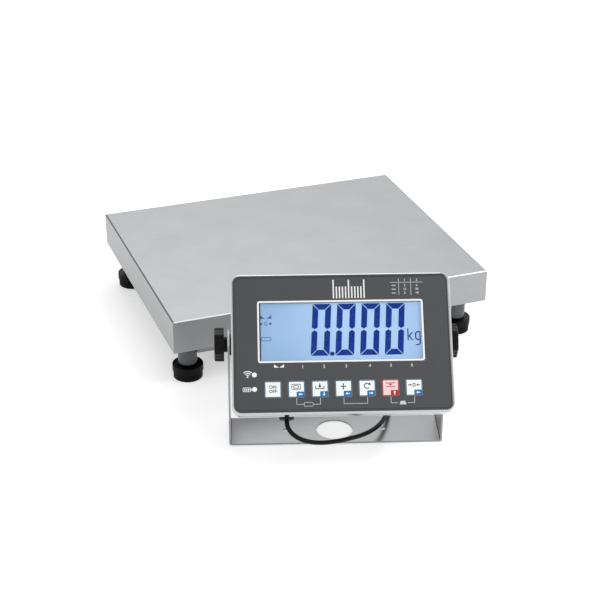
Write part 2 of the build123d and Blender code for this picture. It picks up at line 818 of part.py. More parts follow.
# Display board on the posts of the front housing
with BuildPart() as display_board:
    with BuildSketch(into(board_front)):
        RectangleRounded(board_width, board_height, board_corner)
    extrude(amount=-board_thickness)
finish(display_board, "display_board")

# Snap domes on the board, one under each key
with BuildPart() as snap_domes:
    with BuildSketch(into(board_front)):
        with Locations((0, key_row)):
            with GridLocations(key_pitch, 0, key_count, 1):
                Circle(dome_diameter / 2)
    extrude(amount=dome_height)
    chamfer(snap_domes.faces().group_by(outward)[-1].edges(), dome_height * 0.9, dome_height * 3)
finish(snap_domes, "snap_domes")

# Keys: a square cap level with the panel, and a plunger that reaches its dome
for index in range(key_count):
    key_x = (index - (key_count - 1) / 2) * key_pitch
    with BuildPart() as key:
        with BuildSketch(into(panel_recess - panel_sheet)):
            with Locations((key_x, key_row)):
                RectangleRounded(key_size, key_size, key_corner)
        extrude(amount=-key_cap)
        with BuildSketch(into(panel_recess - panel_sheet)):
            with Locations((key_x, key_row)):
                Circle(plunger_diameter / 2)
        extrude(amount=panel_recess - panel_sheet + dome_height + dome_gap - board_front)
    finish(key, "key_" + str(index + 1))

# Two status lights on the board, their lenses in the panel
with BuildPart() as status_lights:
    with BuildSketch(into(board_front)):
        with Locations([(light_x, row) for row in light_rows]):
            Circle(light_diameter / 2 - panel_clearance)
    extrude(amount=board_front - panel_recess + panel_sheet)
finish(status_lights, "status_lights")

# Main board on the posts of the rear housing, and the battery behind it
with BuildPart() as main_board:
    with BuildSketch(into(main_board_depth)):
        Rectangle(main_board_width, main_board_height)
    extrude(amount=-board_thickness)
finish(main_board, "main_board")

with BuildPart() as battery:
    with BuildSketch(into(rear_floor)):
        RectangleRounded(battery_width, battery_height, battery_corner)
    extrude(amount=battery_thickness)
finish(battery, "battery")

# Threaded bosses in the housing's sides, and the washers between the housing and the arms
with BuildPart() as pivot_bosses:
    for side in (-1, 1):
        with BuildSketch(side_wall(side)):
            Circle(boss_neck / 2)
        extrude(amount=-rear_wall)
        with BuildSketch(side_wall(side).offset(-rear_wall)):
            Circle(boss_diameter / 2)
        extrude(amount=-boss_length)
        with BuildSketch(side_wall(side)):
            Circle(clamp_stud / 2 + thread_clearance)
        extrude(amount=-rear_wall - boss_length, mode=Mode.SUBTRACT)
finish(pivot_bosses, "pivot_bosses")

with BuildPart() as pivot_washers:
    for side in (-1, 1):
        with BuildSketch(side_wall(side)):
            Circle(washer_diameter / 2)
            Circle(clamp_stud / 2 + stand_hole_clearance, mode=Mode.SUBTRACT)
        extrude(amount=pivot_space(side) - pivot_gap)
finish(pivot_washers, "pivot_washers")

# Clamp knobs: a star grip moulded on a stud that screws into the boss
outside_reach = pivot_gap + knob_stud_seat
for side, word in ((-1, "left"), (1, "right")):
    arm_face = on_side(side)
    knob_axis = Axis(arm_face.origin, arm_face.z_dir)
    with BuildPart() as knob:
        with BuildSketch(arm_face.offset(knob_hub_length)) as star:
            Circle(knob_grip_diameter / 2)
            with PolarLocations((knob_width - knob_lobe_diameter) / 2, knob_lobes):
                Circle(knob_lobe_diameter / 2)
            fillet(star.vertices(), knob_edge)
        extrude(amount=knob_grip_length)
        fillet(knob.faces().sort_by(knob_axis)[-1].edges(), knob_edge)
        with BuildSketch(arm_face.offset(pivot_gap)):
            Circle(knob_hub_diameter / 2)
        extrude(amount=knob_hub_length - pivot_gap)
        with BuildSketch(arm_face.offset(pivot_gap)):
            Circle(clamp_stud / 2)
        extrude(amount=knob_stud_seat, mode=Mode.SUBTRACT)
    finish(knob, "clamp_knob_" + word)
    with BuildPart() as clamp_screw:
        with BuildSketch(arm_face.offset(outside_reach)):
            Circle(clamp_stud / 2)
        extrude(amount=-outside_reach - stand_sheet - pivot_space(side) - rear_wall - clamp_stud_hold)
    finish(clamp_screw, "clamp_screw_" + word)

# Display gland under the housing, where the cable comes out
finish(
    cable_gland(
        at_face(display_gland_x, -rear_height / 2, display_gland_depth, (1, 0, 0), (0, 0, -1)),
        gland_diameter,
        gland_length,
        cable_diameter,
        rear_wall,
    ),
    "display_gland",
)

# Cable: down from the display and over its stand to the coil, and from the coil up to the platform
finish(tube(stand, display_run, cable_diameter), "display_cable")
finish(tube(stand, platform_run, cable_diameter), "platform_cable")

# Coil of the spare cable, tied, on the floor behind the stand
coil_width = coil_columns * cable_diameter + coil_play
coil_height = coil_layers * cable_diameter + coil_play
coil_floor = placed(stand, (*coil_middle, tie_sheet), (1, 0, 0), (0, 0, 1))
with BuildPart() as cable_coil:
    with BuildSketch(coil_floor):
        Circle(coil_radius + coil_width / 2)
        Circle(coil_radius - coil_width / 2, mode=Mode.SUBTRACT)
    extrude(amount=coil_height)
    fillet(cable_coil.edges().filter_by(GeomType.CIRCLE), coil_edge)
finish(cable_coil, "cable_coil")

tie_inside = (coil_width + tie_room, coil_height)
tie_outside = (tie_inside[0] + 2 * tie_sheet, tie_inside[1] + 2 * tie_sheet)
tie_corner = (coil_middle[0] - coil_radius, coil_middle[1] + tie_width / 2, tie_sheet + coil_height / 2)
with BuildPart() as cable_tie:
    with BuildSketch(placed(stand, tie_corner, (1, 0, 0), (0, -1, 0))):
        RectangleRounded(*tie_outside, coil_edge + tie_sheet)
        RectangleRounded(*tie_inside, coil_edge, mode=Mode.SUBTRACT)
    extrude(amount=tie_width)
finish(cable_tie, "cable_tie")
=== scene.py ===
"""Platform scale: finishes, print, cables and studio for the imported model, in Blender 4.5.

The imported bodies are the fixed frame. Each class below dresses one sub-assembly of it or builds the
pieces that the frame only stands in for, in metres and in the frame's own coordinates.
"""

from __future__ import annotations

import logging
import math
from dataclasses import dataclass, field
from enum import Enum
from typing import Iterable, Sequence

import bmesh
import bpy
from bpy.types import ID, Material, Mesh, Node, NodeSocket as Socket, Object, World
from mathutils import Matrix, Vector

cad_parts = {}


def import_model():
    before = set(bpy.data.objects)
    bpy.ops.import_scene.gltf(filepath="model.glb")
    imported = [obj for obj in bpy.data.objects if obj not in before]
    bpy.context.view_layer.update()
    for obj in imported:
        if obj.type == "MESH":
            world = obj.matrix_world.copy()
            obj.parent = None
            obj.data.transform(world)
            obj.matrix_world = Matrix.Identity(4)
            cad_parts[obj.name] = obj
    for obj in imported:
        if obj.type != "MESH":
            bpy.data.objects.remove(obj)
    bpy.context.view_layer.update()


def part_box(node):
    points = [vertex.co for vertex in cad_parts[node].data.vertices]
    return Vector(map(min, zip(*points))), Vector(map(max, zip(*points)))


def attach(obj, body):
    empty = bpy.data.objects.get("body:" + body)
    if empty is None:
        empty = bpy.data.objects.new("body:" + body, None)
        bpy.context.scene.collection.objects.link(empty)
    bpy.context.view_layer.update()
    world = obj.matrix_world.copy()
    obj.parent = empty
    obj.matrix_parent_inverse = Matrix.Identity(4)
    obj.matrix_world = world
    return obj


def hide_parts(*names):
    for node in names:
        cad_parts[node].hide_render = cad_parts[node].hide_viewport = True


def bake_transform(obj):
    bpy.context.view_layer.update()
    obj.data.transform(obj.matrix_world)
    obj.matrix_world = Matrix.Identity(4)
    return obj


LOG = logging.getLogger("platform_scale")

MM = 0.001
PLATFORM_HEIGHT = 91.5
STAND_PLACE = (-63.3, -329.1)
STAND_TURN = -17.8
PIVOT = (3.7, 27.0, 113.3)
TILT = 41.8
PIVOT_IN_HEAD = (50.0, 11.0)
BOLDNESS = 0.03
CAPITAL_SHARE = 0.7
KEY_COUNT = 7
RED_KEY = 6
NOISE_SPAN = (0.3, 0.7)

Point2 = tuple[float, float]
Point3 = tuple[float, float, float]


def stand_matrix() -> Matrix:
    """Gives the display stand's frame.

    Returns:
        The transform from the stand's millimetres to the part's metres.
    """
    place = Vector((STAND_PLACE[0], STAND_PLACE[1], -PLATFORM_HEIGHT)) * MM
    return Matrix.Translation(place) @ Matrix.Rotation(math.radians(STAND_TURN), 4, "Z") @ Matrix.Scale(MM, 4)


def face_matrix() -> Matrix:
    """Gives the frame of the display's front face.

    Returns:
        The transform from millimetres on the face, x right, y up and z out of it, to metres.
    """
    tilt = Matrix.Translation(PIVOT) @ Matrix.Rotation(math.radians(-TILT), 4, "X")
    middle = Matrix.Translation((0.0, -PIVOT_IN_HEAD[0], -PIVOT_IN_HEAD[1]))
    return stand_matrix() @ tilt @ middle @ Matrix.Rotation(math.radians(90.0), 4, "X")


def linear(hex_colour: str) -> tuple[float, float, float, float]:
    """Turns an sRGB hex colour into the scene's linear colour.

    Args:
        hex_colour: Six hex digits, with or without a leading #.

    Returns:
        Linear red, green, blue and an alpha of 1.
    """
    digits = hex_colour.lstrip("#")
    parts = [int(digits[i : i + 2], 16) / 255.0 for i in (0, 2, 4)]
    values = [c / 12.92 if c <= 0.04045 else ((c + 0.055) / 1.055) ** 2.4 for c in parts]
    return values[0], values[1], values[2], 1.0


class Grain(Enum):
    """How a surface's fine detail runs."""

    BRUSHED = "brushed"
    MOULDED = "moulded"
    SMOOTH = "smooth"


class Graph:
    """Small builder for the node tree of a material or the world."""

    def __init__(self, owner: Material | World) -> None:
        """Turns the owner's nodes on and finds its output and shader.

        Args:
            owner: The material or world.
        """
        owner.use_nodes = True
        self.owner = owner
        self.tree = owner.node_tree
        self.output = next(node for node in self.tree.nodes if node.type.startswith("OUTPUT"))
        self.shader = self.output.inputs["Surface"].links[0].from_node

    def fill(self, node: Node, inputs: dict[str | int, object]) -> None:
        """Fills a node's inputs, or links them.

        Args:
            node: The node.
            inputs: Names or indices of inputs, each with a socket, a hex colour or a plain value.
        """
        for key, value in inputs.items():
            if isinstance(value, Socket):
                self.tree.links.new(value, node.inputs[key])
            else:
                node.inputs[key].default_value = linear(value) if isinstance(value, str) else value

    def add(self, kind: str, inputs: dict[str | int, object], **settings: object) -> Node:
        """Adds a node.

        Args:
            kind: The node's type without the ShaderNode prefix.
            inputs: What fills its inputs.
            **settings: Properties of the node.

        Returns:
            The new node.
        """
        node = self.tree.nodes.new("ShaderNode" + kind)
        for key, value in settings.items():
            setattr(node, key, value)
        self.fill(node, inputs)
        return node

    def turned(self, kind: str, turn: float) -> Socket:
        """Adds object coordinates or normals in a frame turned about z.

        Args:
            kind: The coordinate output, Object or Normal.
            turn: Turn of the frame, in degrees.

        Returns:
            The vector socket.
        """
        where = self.add("TexCoord", {}).outputs[kind]
        if turn == 0.0:
            return where
        return self.add("Mapping", {"Vector": where, "Rotation": (0.0, 0.0, math.radians(-turn))}).outputs[0]

    def noise(self, scale: Sequence[float], detail: float = 3.0, turn: float = 0.0) -> Socket:
        """Adds noise in object space with its own scale along each axis.

        Args:
            scale: Cells per metre along x, y and z.
            detail: Octaves of the noise.
            turn: Turn of the pattern about z, in degrees.

        Returns:
            The noise's factor socket.
        """
        where = self.turned("Object", turn)
        place = self.add("Mapping", {"Vector": where, "Scale": tuple(scale)})
        return self.add("TexNoise", {"Vector": place.outputs[0], "Scale": 1.0, "Detail": detail}).outputs[0]

    def spread(self, value: Socket, low: float, high: float) -> Socket:
        """Maps a noise's usual span to a range.

        Args:
            value: The noise.
            low: Result at the span's start.
            high: Result at its end.

        Returns:
            The mapped socket.
        """
        least, most = NOISE_SPAN
        inputs = {"Value": value, "From Min": least, "From Max": most, "To Min": low, "To Max": high}
        return self.add("MapRange", inputs).outputs[0]

    def mix(self, share: Socket, first: Socket | str, second: Socket | str) -> Socket:
        """Mixes two colours.

        Args:
            share: Share of the second.
            first: Colour at 0.
            second: Colour at 1.

        Returns:
            The colour socket.
        """
        return self.add("Mix", {0: share, 6: first, 7: second}, data_type="RGBA").outputs[2]

    def ramp(self, value: Socket, start: float, end: float) -> Socket:
        """Turns a value to a smooth share between two limits.

        Args:
            value: The value.
            start: Where the share is 0.
            end: Where the share is 1.

        Returns:
            The share's socket.
        """
        inputs = {"Value": value, "From Min": start, "From Max": end}
        return self.add("MapRange", inputs, interpolation_type="SMOOTHSTEP").outputs[0]

    def between(self, share: object, first: object, second: object) -> Socket:
        """Mixes two numbers.

        Args:
            share: Share of the second.
            first: Number or socket at 0.
            second: Number or socket at 1.

        Returns:
            The mixed socket.
        """
        return self.add("Mix", {"Factor": share, "A": first, "B": second}).outputs[0]

    def calculate(self, operation: str, first: object, second: object = 0.0) -> Socket:
        """Adds one sum.

        Args:
            operation: The math node's operation.
            first: First number or socket.
            second: Second number or socket.

        Returns:
            The result's socket.
        """
        return self.add("Math", {0: first, 1: second}, operation=operation).outputs[0]

    def seen(self) -> Socket:
        """Adds a flag for what is looked at, directly, in a mirror or through a clear sheet.

        Returns:
            The flag's socket.
        """
        path = self.add("LightPath", {}).outputs
        flag = path["Is Camera Ray"]
        for kind in ("Is Glossy Ray", "Is Transmission Ray"):
            flag = self.calculate("MAXIMUM", flag, path[kind])
        return flag


@dataclass(frozen=True)
class Finish:
    """One real material and its process: two near shades that vary finely and broadly."""

    name: str
    dark: str
    light: str
    roughness: tuple[float, float] = (0.4, 0.5)
    bump_mm: float = 0.01
    pitch_mm: float = 1.0
    metallic: float = 0.0
    specular: float = 0.5
    turn: float = 0.0
    grain: Grain = Grain.SMOOTH
    broad_cells: float = 18.0
    broad_share: float = 0.35
    streak: float = 60.0

    def make(self) -> Material:
        """Builds the finish.

        Returns:
            The material.
        """
        graph = Graph(bpy.data.materials.new(self.name))
        fine = self.fine(graph)
        both = graph.between(self.broad_share, fine, graph.noise((self.broad_cells,) * 3, 2.0))
        colour = graph.mix(graph.spread(both, 0.0, 1.0), self.dark, self.light)
        look = {"Metallic": self.metallic, "Specular IOR Level": self.specular}
        look["Base Color"] = self.tint(graph, colour)
        look["Roughness"] = graph.spread(both, *self.roughness)
        if self.bump_mm > 0.0:
            depth = {"Height": fine, "Distance": self.bump_mm * MM, "Strength": 1.0}
            look["Normal"] = graph.add("Bump", depth).outputs[0]
        graph.fill(graph.shader, look)
        graph.owner.diffuse_color = linear(self.light)
        return graph.owner

    def tint(self, graph: Graph, colour: Socket) -> Socket:
        """Lets a kind of finish paint light or shade into its colour in places, which a plain one doesn't.

        Args:
            graph: The material's builder.
            colour: The colour so far.

        Returns:
            The colour socket.
        """
        return colour

    def fine(self, graph: Graph) -> Socket:
        """Adds the finest detail.

        Args:
            graph: The material's builder.

        Returns:
            A factor socket.
        """
        cells = 1.0 / (self.pitch_mm * MM)
        if self.grain is not Grain.BRUSHED:
            return graph.noise((cells,) * 3, 4.0 if self.grain is Grain.MOULDED else 2.0)
        along = cells / self.streak
        run = graph.noise((along, cells, cells), turn=self.turn)
        cross = graph.noise((cells, along, cells), turn=self.turn)
        parts = graph.add("SeparateXYZ", {0: graph.turned("Normal", self.turn)})
        sideways = graph.calculate("GREATER_THAN", graph.calculate("ABSOLUTE", parts.outputs[0]), 0.7)
        return graph.between(sideways, run, cross)


@dataclass(frozen=True)
class Moulding(Finish):
    """Rubber, plastic or weld: a fine pitted skin that keeps its highlights soft."""

    grain: Grain = Grain.MOULDED


@dataclass(frozen=True)
class Metal(Finish):
    """Bare or plated metal: it shows the pale room in its own grey."""

    metallic: float = 1.0


@dataclass(frozen=True)
class Brushed(Metal):
    """Brushed or turned metal: long faint streaks that stretch its highlights."""

    grain: Grain = Grain.BRUSHED


@dataclass(frozen=True)
class FoldedSheet(Brushed):
    """Brushed sheet with light painted on its bends: a thin dark line of painted reflection along its sides,
    a bright line of painted highlight in front.
    """

    # Colours of the painted dark reflection on the side bends and of the painted highlight on the end bends,
    # and the slant that takes them.
    side_bend: str = "#5E6061"
    end_bend: str = "#CDCECE"
    bend_slant: Point2 = (0.2, 0.45)

    def tint(self, graph: Graph, colour: Socket) -> Socket:
        """Changes the colour where the sheet is bent: a painted dark reflection on the side bends and a
        painted highlight on the end bends.

        Args:
            graph: The material's builder.
            colour: The sheet's colour.

        Returns:
            The colour socket.
        """
        parts = graph.add("SeparateXYZ", {0: graph.turned("Normal", self.turn)}).outputs
        # Side bends get the painted dark reflection, end bends the painted highlight.
        for axis, bend in ((0, self.side_bend), (1, self.end_bend)):
            slant = graph.calculate("ABSOLUTE", graph.calculate("MULTIPLY", parts[axis], parts[2]))
            colour = graph.mix(graph.ramp(slant, *self.bend_slant), colour, bend)
        return colour


@dataclass(frozen=True)
class BlackenedRim(Metal):
    """Polished rim with a painted dark reflection on its front: a dark line round the panel and a bright edge
    outside it.
    """

    # Colour of the painted dark reflection, and how squarely a face must look out of the panel to take it.
    front: str = "#4C4D4F"
    front_facing: Point2 = (0.8, 0.97)

    def tint(self, graph: Graph, colour: Socket) -> Socket:
        """Paints a dark reflection on the rim where it faces the same way as the panel.

        Args:
            graph: The material's builder.
            colour: The bare steel's colour.

        Returns:
            The colour socket.
        """
        # Faces that look out of the panel get the painted dark reflection.
        outward = (face_matrix().to_3x3() @ Vector((0.0, 0.0, 1.0))).normalized()
        normal = graph.turned("Normal", 0.0)
        facing = graph.add("VectorMath", {0: normal, 1: tuple(outward)}, operation="DOT_PRODUCT")
        return graph.mix(graph.ramp(facing.outputs["Value"], *self.front_facing), colour, self.front)


def finishes() -> dict[str, Material]:
    """Makes every plain finish.

    Returns:
        The materials by short key.
    """
    recipes = {
        # Brushed and drawn stainless steel gives the pale grey with fine streaks of the large faces.
        # The plate and the stand get a painted dark reflection along their side bends and a painted highlight
        # along their end bends.
        "plate": FoldedSheet("brushed_stainless_plate", "#9A9B9C", "#A9AAAB", (0.38, 0.44), 0.003, 0.35),
        "stand": FoldedSheet(
            "brushed_stainless_stand", "#8E8F90", "#9C9D9E", (0.34, 0.42), 0.003, 0.35, turn=STAND_TURN
        ),
        "shell": Brushed(
            "satin_stainless_shell", "#9FA1A2", "#B0B2B3", (0.3, 0.38), 0.002, 0.35, turn=STAND_TURN
        ),
        # Machined and polished metal gives small bright highlights.
        # The rim's front gets a painted dark reflection.
        "rim": BlackenedRim("polished_stainless_rim", "#B2B4B5", "#C6C8C9", (0.14, 0.2), 0.001, 0.6),
        "cell": Brushed("milled_aluminium_cell", "#A5A8AA", "#BEC1C3", (0.28, 0.4), 0.004, 0.3),
        "brass": Brushed("turned_brass_boss", "#A9873F", "#C6A35A", (0.26, 0.36), 0.003, 0.3),
        "zinc": Metal("zinc_plated_steel_screw", "#8F9496", "#B4B9BB", (0.28, 0.4), 0.004, 0.6),
        "dome": Metal("spring_steel_dome", "#9A9DA0", "#BBBEC0", (0.18, 0.26), 0.001, 0.5),
        # Paint and coating on steel give an even grey with a faint orange-peel skin.
        "frame": Finish("satin_grey_paint_on_steel", "#A2A4A5", "#AEB0B1", (0.38, 0.48), 0.01, 0.8),
        "weld": Moulding("welded_bead_under_paint", "#96989A", "#AAACAE", (0.36, 0.5), 0.12, 1.4),
        "tube": Finish("coated_steel_tube", "#54565A", "#606264", (0.34, 0.44), 0.006, 0.8, 0.3),
        # Black mouldings give nearly no light back, so the feet, knobs and cable read as black.
        "rubber": Moulding(
            "moulded_black_rubber", "#030303", "#090909", (0.5, 0.64), 0.03, 0.5, specular=0.12
        ),
        "nylon": Moulding(
            "moulded_black_nylon", "#030303", "#080808", (0.3, 0.4), 0.015, 0.45, specular=0.14
        ),
        "jacket": Moulding(
            "black_pvc_cable_jacket", "#030303", "#090909", (0.36, 0.46), 0.008, 0.5, specular=0.16
        ),
        "washer": Moulding("grey_nylon_washer", "#3A3B3D", "#48494B", (0.4, 0.5), 0.01, 0.5),
        "foam": Moulding("foamed_rubber_gasket", "#151516", "#222223", (0.7, 0.85), 0.05, 0.4),
        # Smooth plastics and lacquers give a soft sheen.
        "cup": Finish("moulded_white_cup", "#D3D5CF", "#E3E4DF", (0.22, 0.3), 0.004),
        "board": Finish("green_solder_mask", "#0F3D22", "#17522F", (0.24, 0.34), 0.004, 0.7),
        "battery": Finish("blue_shrink_wrap", "#13294F", "#1D3A6B", (0.22, 0.32), 0.01, 1.2),
        "diffuser": Finish("white_light_diffuser", "#DDE6F2", "#F0F5FA", bump_mm=0.0),
        "lens": Finish("diffusing_status_lens", "#FAFBFB", "#FFFFFF", (0.2, 0.28), 0.002, 0.5),
        # Printed films give the matt charcoal panel and the bright key faces.
        "film": Finish("printed_polyester_film", "#3B3C3E", "#414244", (0.36, 0.44), 0.004, 0.35),
        "key": Finish("printed_white_key_film", "#F6FEFF", "#FDFFFF", (0.34, 0.42), 0.003, 0.35),
        "key_red": Finish("printed_rose_key_film", "#F6CCD2", "#FADDE1", (0.34, 0.42), 0.003, 0.35),
        # Screen inks give flat crisp marks with almost no relief.
        "ink_white": Finish("white_screen_ink", "#F8F8F8", "#FFFFFF", (0.4, 0.5), 0.002, 0.3),
        "ink_grey": Finish("pale_grey_screen_ink", "#CDCECF", "#DBDCDD", (0.4, 0.5), 0.002, 0.3),
        "ink_teal": Finish("teal_screen_ink", "#0E4E6E", "#175A7B", (0.36, 0.44), 0.002, 0.3),
        "ink_blue": Finish("blue_screen_ink", "#0566A6", "#0C72B2", (0.36, 0.44), 0.002, 0.3),
        "ink_red": Finish("red_screen_ink", "#A80C1A", "#BC1524", (0.36, 0.44), 0.002, 0.3),
        "ink_dark": Finish("dark_grey_screen_ink", "#23292C", "#2E3538", (0.4, 0.5), 0.002, 0.3),
        "segment_faint": Finish("resting_crystal_segment", "#2F5CA0", "#3C69AC"),
    }
    return {key: recipe.make() for key, recipe in recipes.items()}


def glass(name: str, colour: str, roughness: float, ior: float) -> Material:
    """Makes a clear plastic or air: what lies behind it shows through, with a faint sheen.

    Args:
        name: The material's name.
        colour: Hex tint.
        roughness: Middle roughness of its surface.
        ior: Index of refraction.

    Returns:
        The material.
    """
    graph = Graph(bpy.data.materials.new(name))
    rough = graph.spread(graph.noise((40.0,) * 3), roughness * 0.7, roughness * 1.3)
    look = {"Transmission Weight": 1.0, "IOR": ior, "Base Color": colour, "Roughness": rough}
    graph.fill(graph.shader, look)
    return graph.owner


def lit_crystal() -> Material:
    """Makes the backlit liquid crystal: pale blue, brightest right of its middle, with faint rows; the
    lighter base colour round that spot is painted light.

    Returns:
        The material.
    """
    brightest, near_reach, far_reach = (20.0, 20.0, 0.0), 0.015, 0.125
    row_share, lamp_share, glow = 0.12, 0.75, 0.46
    graph = Graph(bpy.data.materials.new("backlit_liquid_crystal"))
    clouds = graph.noise((14.0, 14.0, 20.0), 2.0)
    rows = graph.noise((30.0, 30.0, 2600.0), 1.0)
    both = graph.between(row_share, clouds, rows)
    lamp = tuple(face_matrix() @ Vector(brightest))
    away = graph.add("VectorMath", {0: graph.turned("Object", 0.0), 1: lamp}, operation="DISTANCE")
    near = graph.ramp(away.outputs["Value"], far_reach, near_reach)
    share = graph.between(lamp_share, graph.spread(both, 0.0, 1.0), near)
    # The base colour is lighter round the bright spot as well: painted light.
    look = {"Base Color": graph.mix(share, "#6F90B0", "#93AECB"), "Roughness": 0.3}
    look |= {"Emission Color": graph.mix(share, "#93B2D4", "#BCD3F0"), "Emission Strength": glow}
    graph.fill(graph.shader, look)
    return graph.owner


def segment_ink() -> Material:
    """Makes a driven segment: a deep blue that the backlight still lifts a little.

    Returns:
        The material.
    """
    graph = Graph(bpy.data.materials.new("driven_crystal_segment"))
    colour = graph.mix(graph.noise((160.0,) * 3, 2.0), "#082879", "#0E3488")
    look = {"Base Color": colour, "Specular IOR Level": 0.1, "Roughness": 0.35}
    look |= {"Emission Color": colour, "Emission Strength": 0.3}
    graph.fill(graph.shader, look)
    return graph.owner


def mesh_of(name: str, build: bmesh.types.BMesh) -> Mesh:
    """Writes an edited mesh out and frees it.

    Args:
        name: The mesh's name.
        build: The edited mesh.

    Returns:
        The mesh.
    """
    mesh = bpy.data.meshes.new(name)
    build.to_mesh(mesh)
    build.free()
    return mesh


def linked(name: str, data: ID) -> Object:
    """Links a new object.

    Args:
        name: The object's name.
        data: Its mesh, light or camera.

    Returns:
        The object.
    """
    holder = bpy.data.objects.new(name, data)
    bpy.context.scene.collection.objects.link(holder)
    return holder


class Workshop:
    """Makes mesh objects and hands them to the frame."""

    def __init__(self, materials: dict[str, Material]) -> None:
        """Keeps the materials.

        Args:
            materials: The materials by short key.
        """
        self.materials = materials

    def paint(self, nodes: Iterable[str], key: str) -> None:
        """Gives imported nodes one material.

        Args:
            nodes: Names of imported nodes.
            key: The material's key.
        """
        for name in nodes:
            mesh = bpy.data.objects[name].data
            mesh.materials.clear()
            mesh.materials.append(self.materials[key])

    def place(self, name: str, mesh: Mesh, key: str, body: str, slot: str) -> Object:
        """Links a mesh as a piece that rides on a body.

        Args:
            name: The piece's name.
            mesh: Its mesh, in metres in the part's frame.
            key: The material's key.
            body: The body it rides on.
            slot: Not used.

        Returns:
            The piece.
        """
        piece = linked(name, mesh)
        mesh.materials.append(self.materials[key])
        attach(piece, body)
        LOG.info("piece %s on %s, %d faces", name, body, len(mesh.polygons))
        return piece

    def printed(
        self, name: str, print_: Stencil, key: str, body: str = "head", slot: str = "panel_film"
    ) -> None:
        """Makes a piece of a print.

        Args:
            name: The piece's name.
            print_: The filled stencil.
            key: The ink's key.
            body: The body it rides on.
            slot: The record's material slot.
        """
        self.place(name, print_.finish(name), key, body, slot)


class Stencil:
    """Flat print on a plane: loops of points turned into thin faces."""

    def __init__(self, matrix: Matrix, height: float) -> None:
        """Starts an empty print.

        Args:
            matrix: From the plane's millimetres to metres.
            height: Height of the print above the plane, in millimetres.
        """
        self.matrix = matrix
        self.height = height
        self.mesh = bmesh.new()

    def polygon(self, loop: Sequence[Point2]) -> None:
        """Adds one filled outline.

        Args:
            loop: Its corners, in order.
        """
        self.mesh.faces.new([self.mesh.verts.new((x, y, self.height)) for x, y in loop])

    def band(self, outer: Sequence[Point2], inner: Sequence[Point2], closed: bool = True) -> None:
        """Adds a band between two lines with as many points.

        Args:
            outer: One edge.
            inner: The other edge.
            closed: Whether the band joins its own start.
        """
        rows = [[self.mesh.verts.new((x, y, self.height)) for x, y in loop] for loop in (outer, inner)]
        count = len(outer)
        for i in range(count if closed else count - 1):
            j = (i + 1) % count
            self.mesh.faces.new((rows[0][i], rows[0][j], rows[1][j], rows[1][i]))

    def line(self, points: Sequence[Point2], width: float) -> None:
        """Adds a stroke with mitred corners.

        Args:
            points: The stroke's corners.
            width: The stroke's width.
        """
        places = [Vector(p) for p in points]
        left: list[Point2] = []
        right: list[Point2] = []
        for i, here in enumerate(places):
            before = (here - places[i - 1]).normalized() if i else (places[1] - here).normalized()
            after = (places[i + 1] - here).normalized() if i + 1 < len(places) else before
            middle = (before + after).normalized()
            across = Vector((-middle.y, middle.x)) * (width / 2 / max(0.3, middle.dot(before)))
            left.append(tuple(here + across))
            right.append(tuple(here - across))
        self.band(left, right, closed=False)

    def finish(self, name: str) -> Mesh:
        """Makes the mesh.

        Args:
            name: The mesh's name.

        Returns:
            The mesh, in metres.
        """
        bmesh.ops.transform(self.mesh, matrix=self.matrix, verts=self.mesh.verts)
        bmesh.ops.recalc_face_normals(self.mesh, faces=self.mesh.faces)
        outward = (self.matrix.to_3x3() @ Vector((0, 0, 1))).normalized()
        for face in self.mesh.faces:
            if face.normal.dot(outward) < 0:
                face.normal_flip()
        return mesh_of(name, self.mesh)


def rounded(cx: float, cy: float, width: float, height: float, radius: float, steps: int = 6) -> list[Point2]:
    """Gives a rounded rectangle's outline.

    Args:
        cx: Middle, across.
        cy: Middle, up.
        width: Its width.
        height: Its height.
        radius: Corner radius.
        steps: Parts of each corner.

    Returns:
        The outline, counter-clockwise.
    """
    loop: list[Point2] = []
    for quarter, (sx, sy) in enumerate(((1, 1), (-1, 1), (-1, -1), (1, -1))):
        ox, oy = cx + sx * (width / 2 - radius), cy + sy * (height / 2 - radius)
        for i in range(steps + 1):
            angle = math.radians(90.0 * (quarter + i / steps))
            loop.append((ox + radius * math.cos(angle), oy + radius * math.sin(angle)))
    return loop


def arc(cx: float, cy: float, radius: float, start: float, end: float, steps: int = 10) -> list[Point2]:
    """Gives points along an arc.

    Args:
        cx: Middle, across.
        cy: Middle, up.
        radius: Its radius.
        start: First angle in degrees.
        end: Last angle in degrees.
        steps: Number of parts.

    Returns:
        The points.
    """
    turns = [math.radians(start + (end - start) * i / steps) for i in range(steps + 1)]
    return [(cx + radius * math.cos(t), cy + radius * math.sin(t)) for t in turns]


def written(text: str, height: float, at: Point2, matrix: Matrix, lift: float) -> Mesh:
    """Sets plain characters as a flat mesh.

    Args:
        text: The characters.
        height: Height of a capital, in millimetres.
        at: Middle of the characters, in millimetres on the plane.
        matrix: From the plane's millimetres to metres.
        lift: Height above the plane, in millimetres.

    Returns:
        The mesh, in metres.
    """
    curve = bpy.data.curves.new("characters", "FONT")
    curve.body = text
    curve.align_x = "CENTER"
    curve.align_y = "CENTER"
    curve.size = height / CAPITAL_SHARE
    curve.offset = BOLDNESS * height
    curve.resolution_u = 3
    holder = bpy.data.objects.new("characters", curve)
    mesh = bpy.data.meshes.new_from_object(holder)
    bpy.data.objects.remove(holder)
    bpy.data.curves.remove(curve)
    mesh.materials.clear()
    mesh.transform(matrix @ Matrix.Translation((at[0], at[1], lift)))
    return mesh


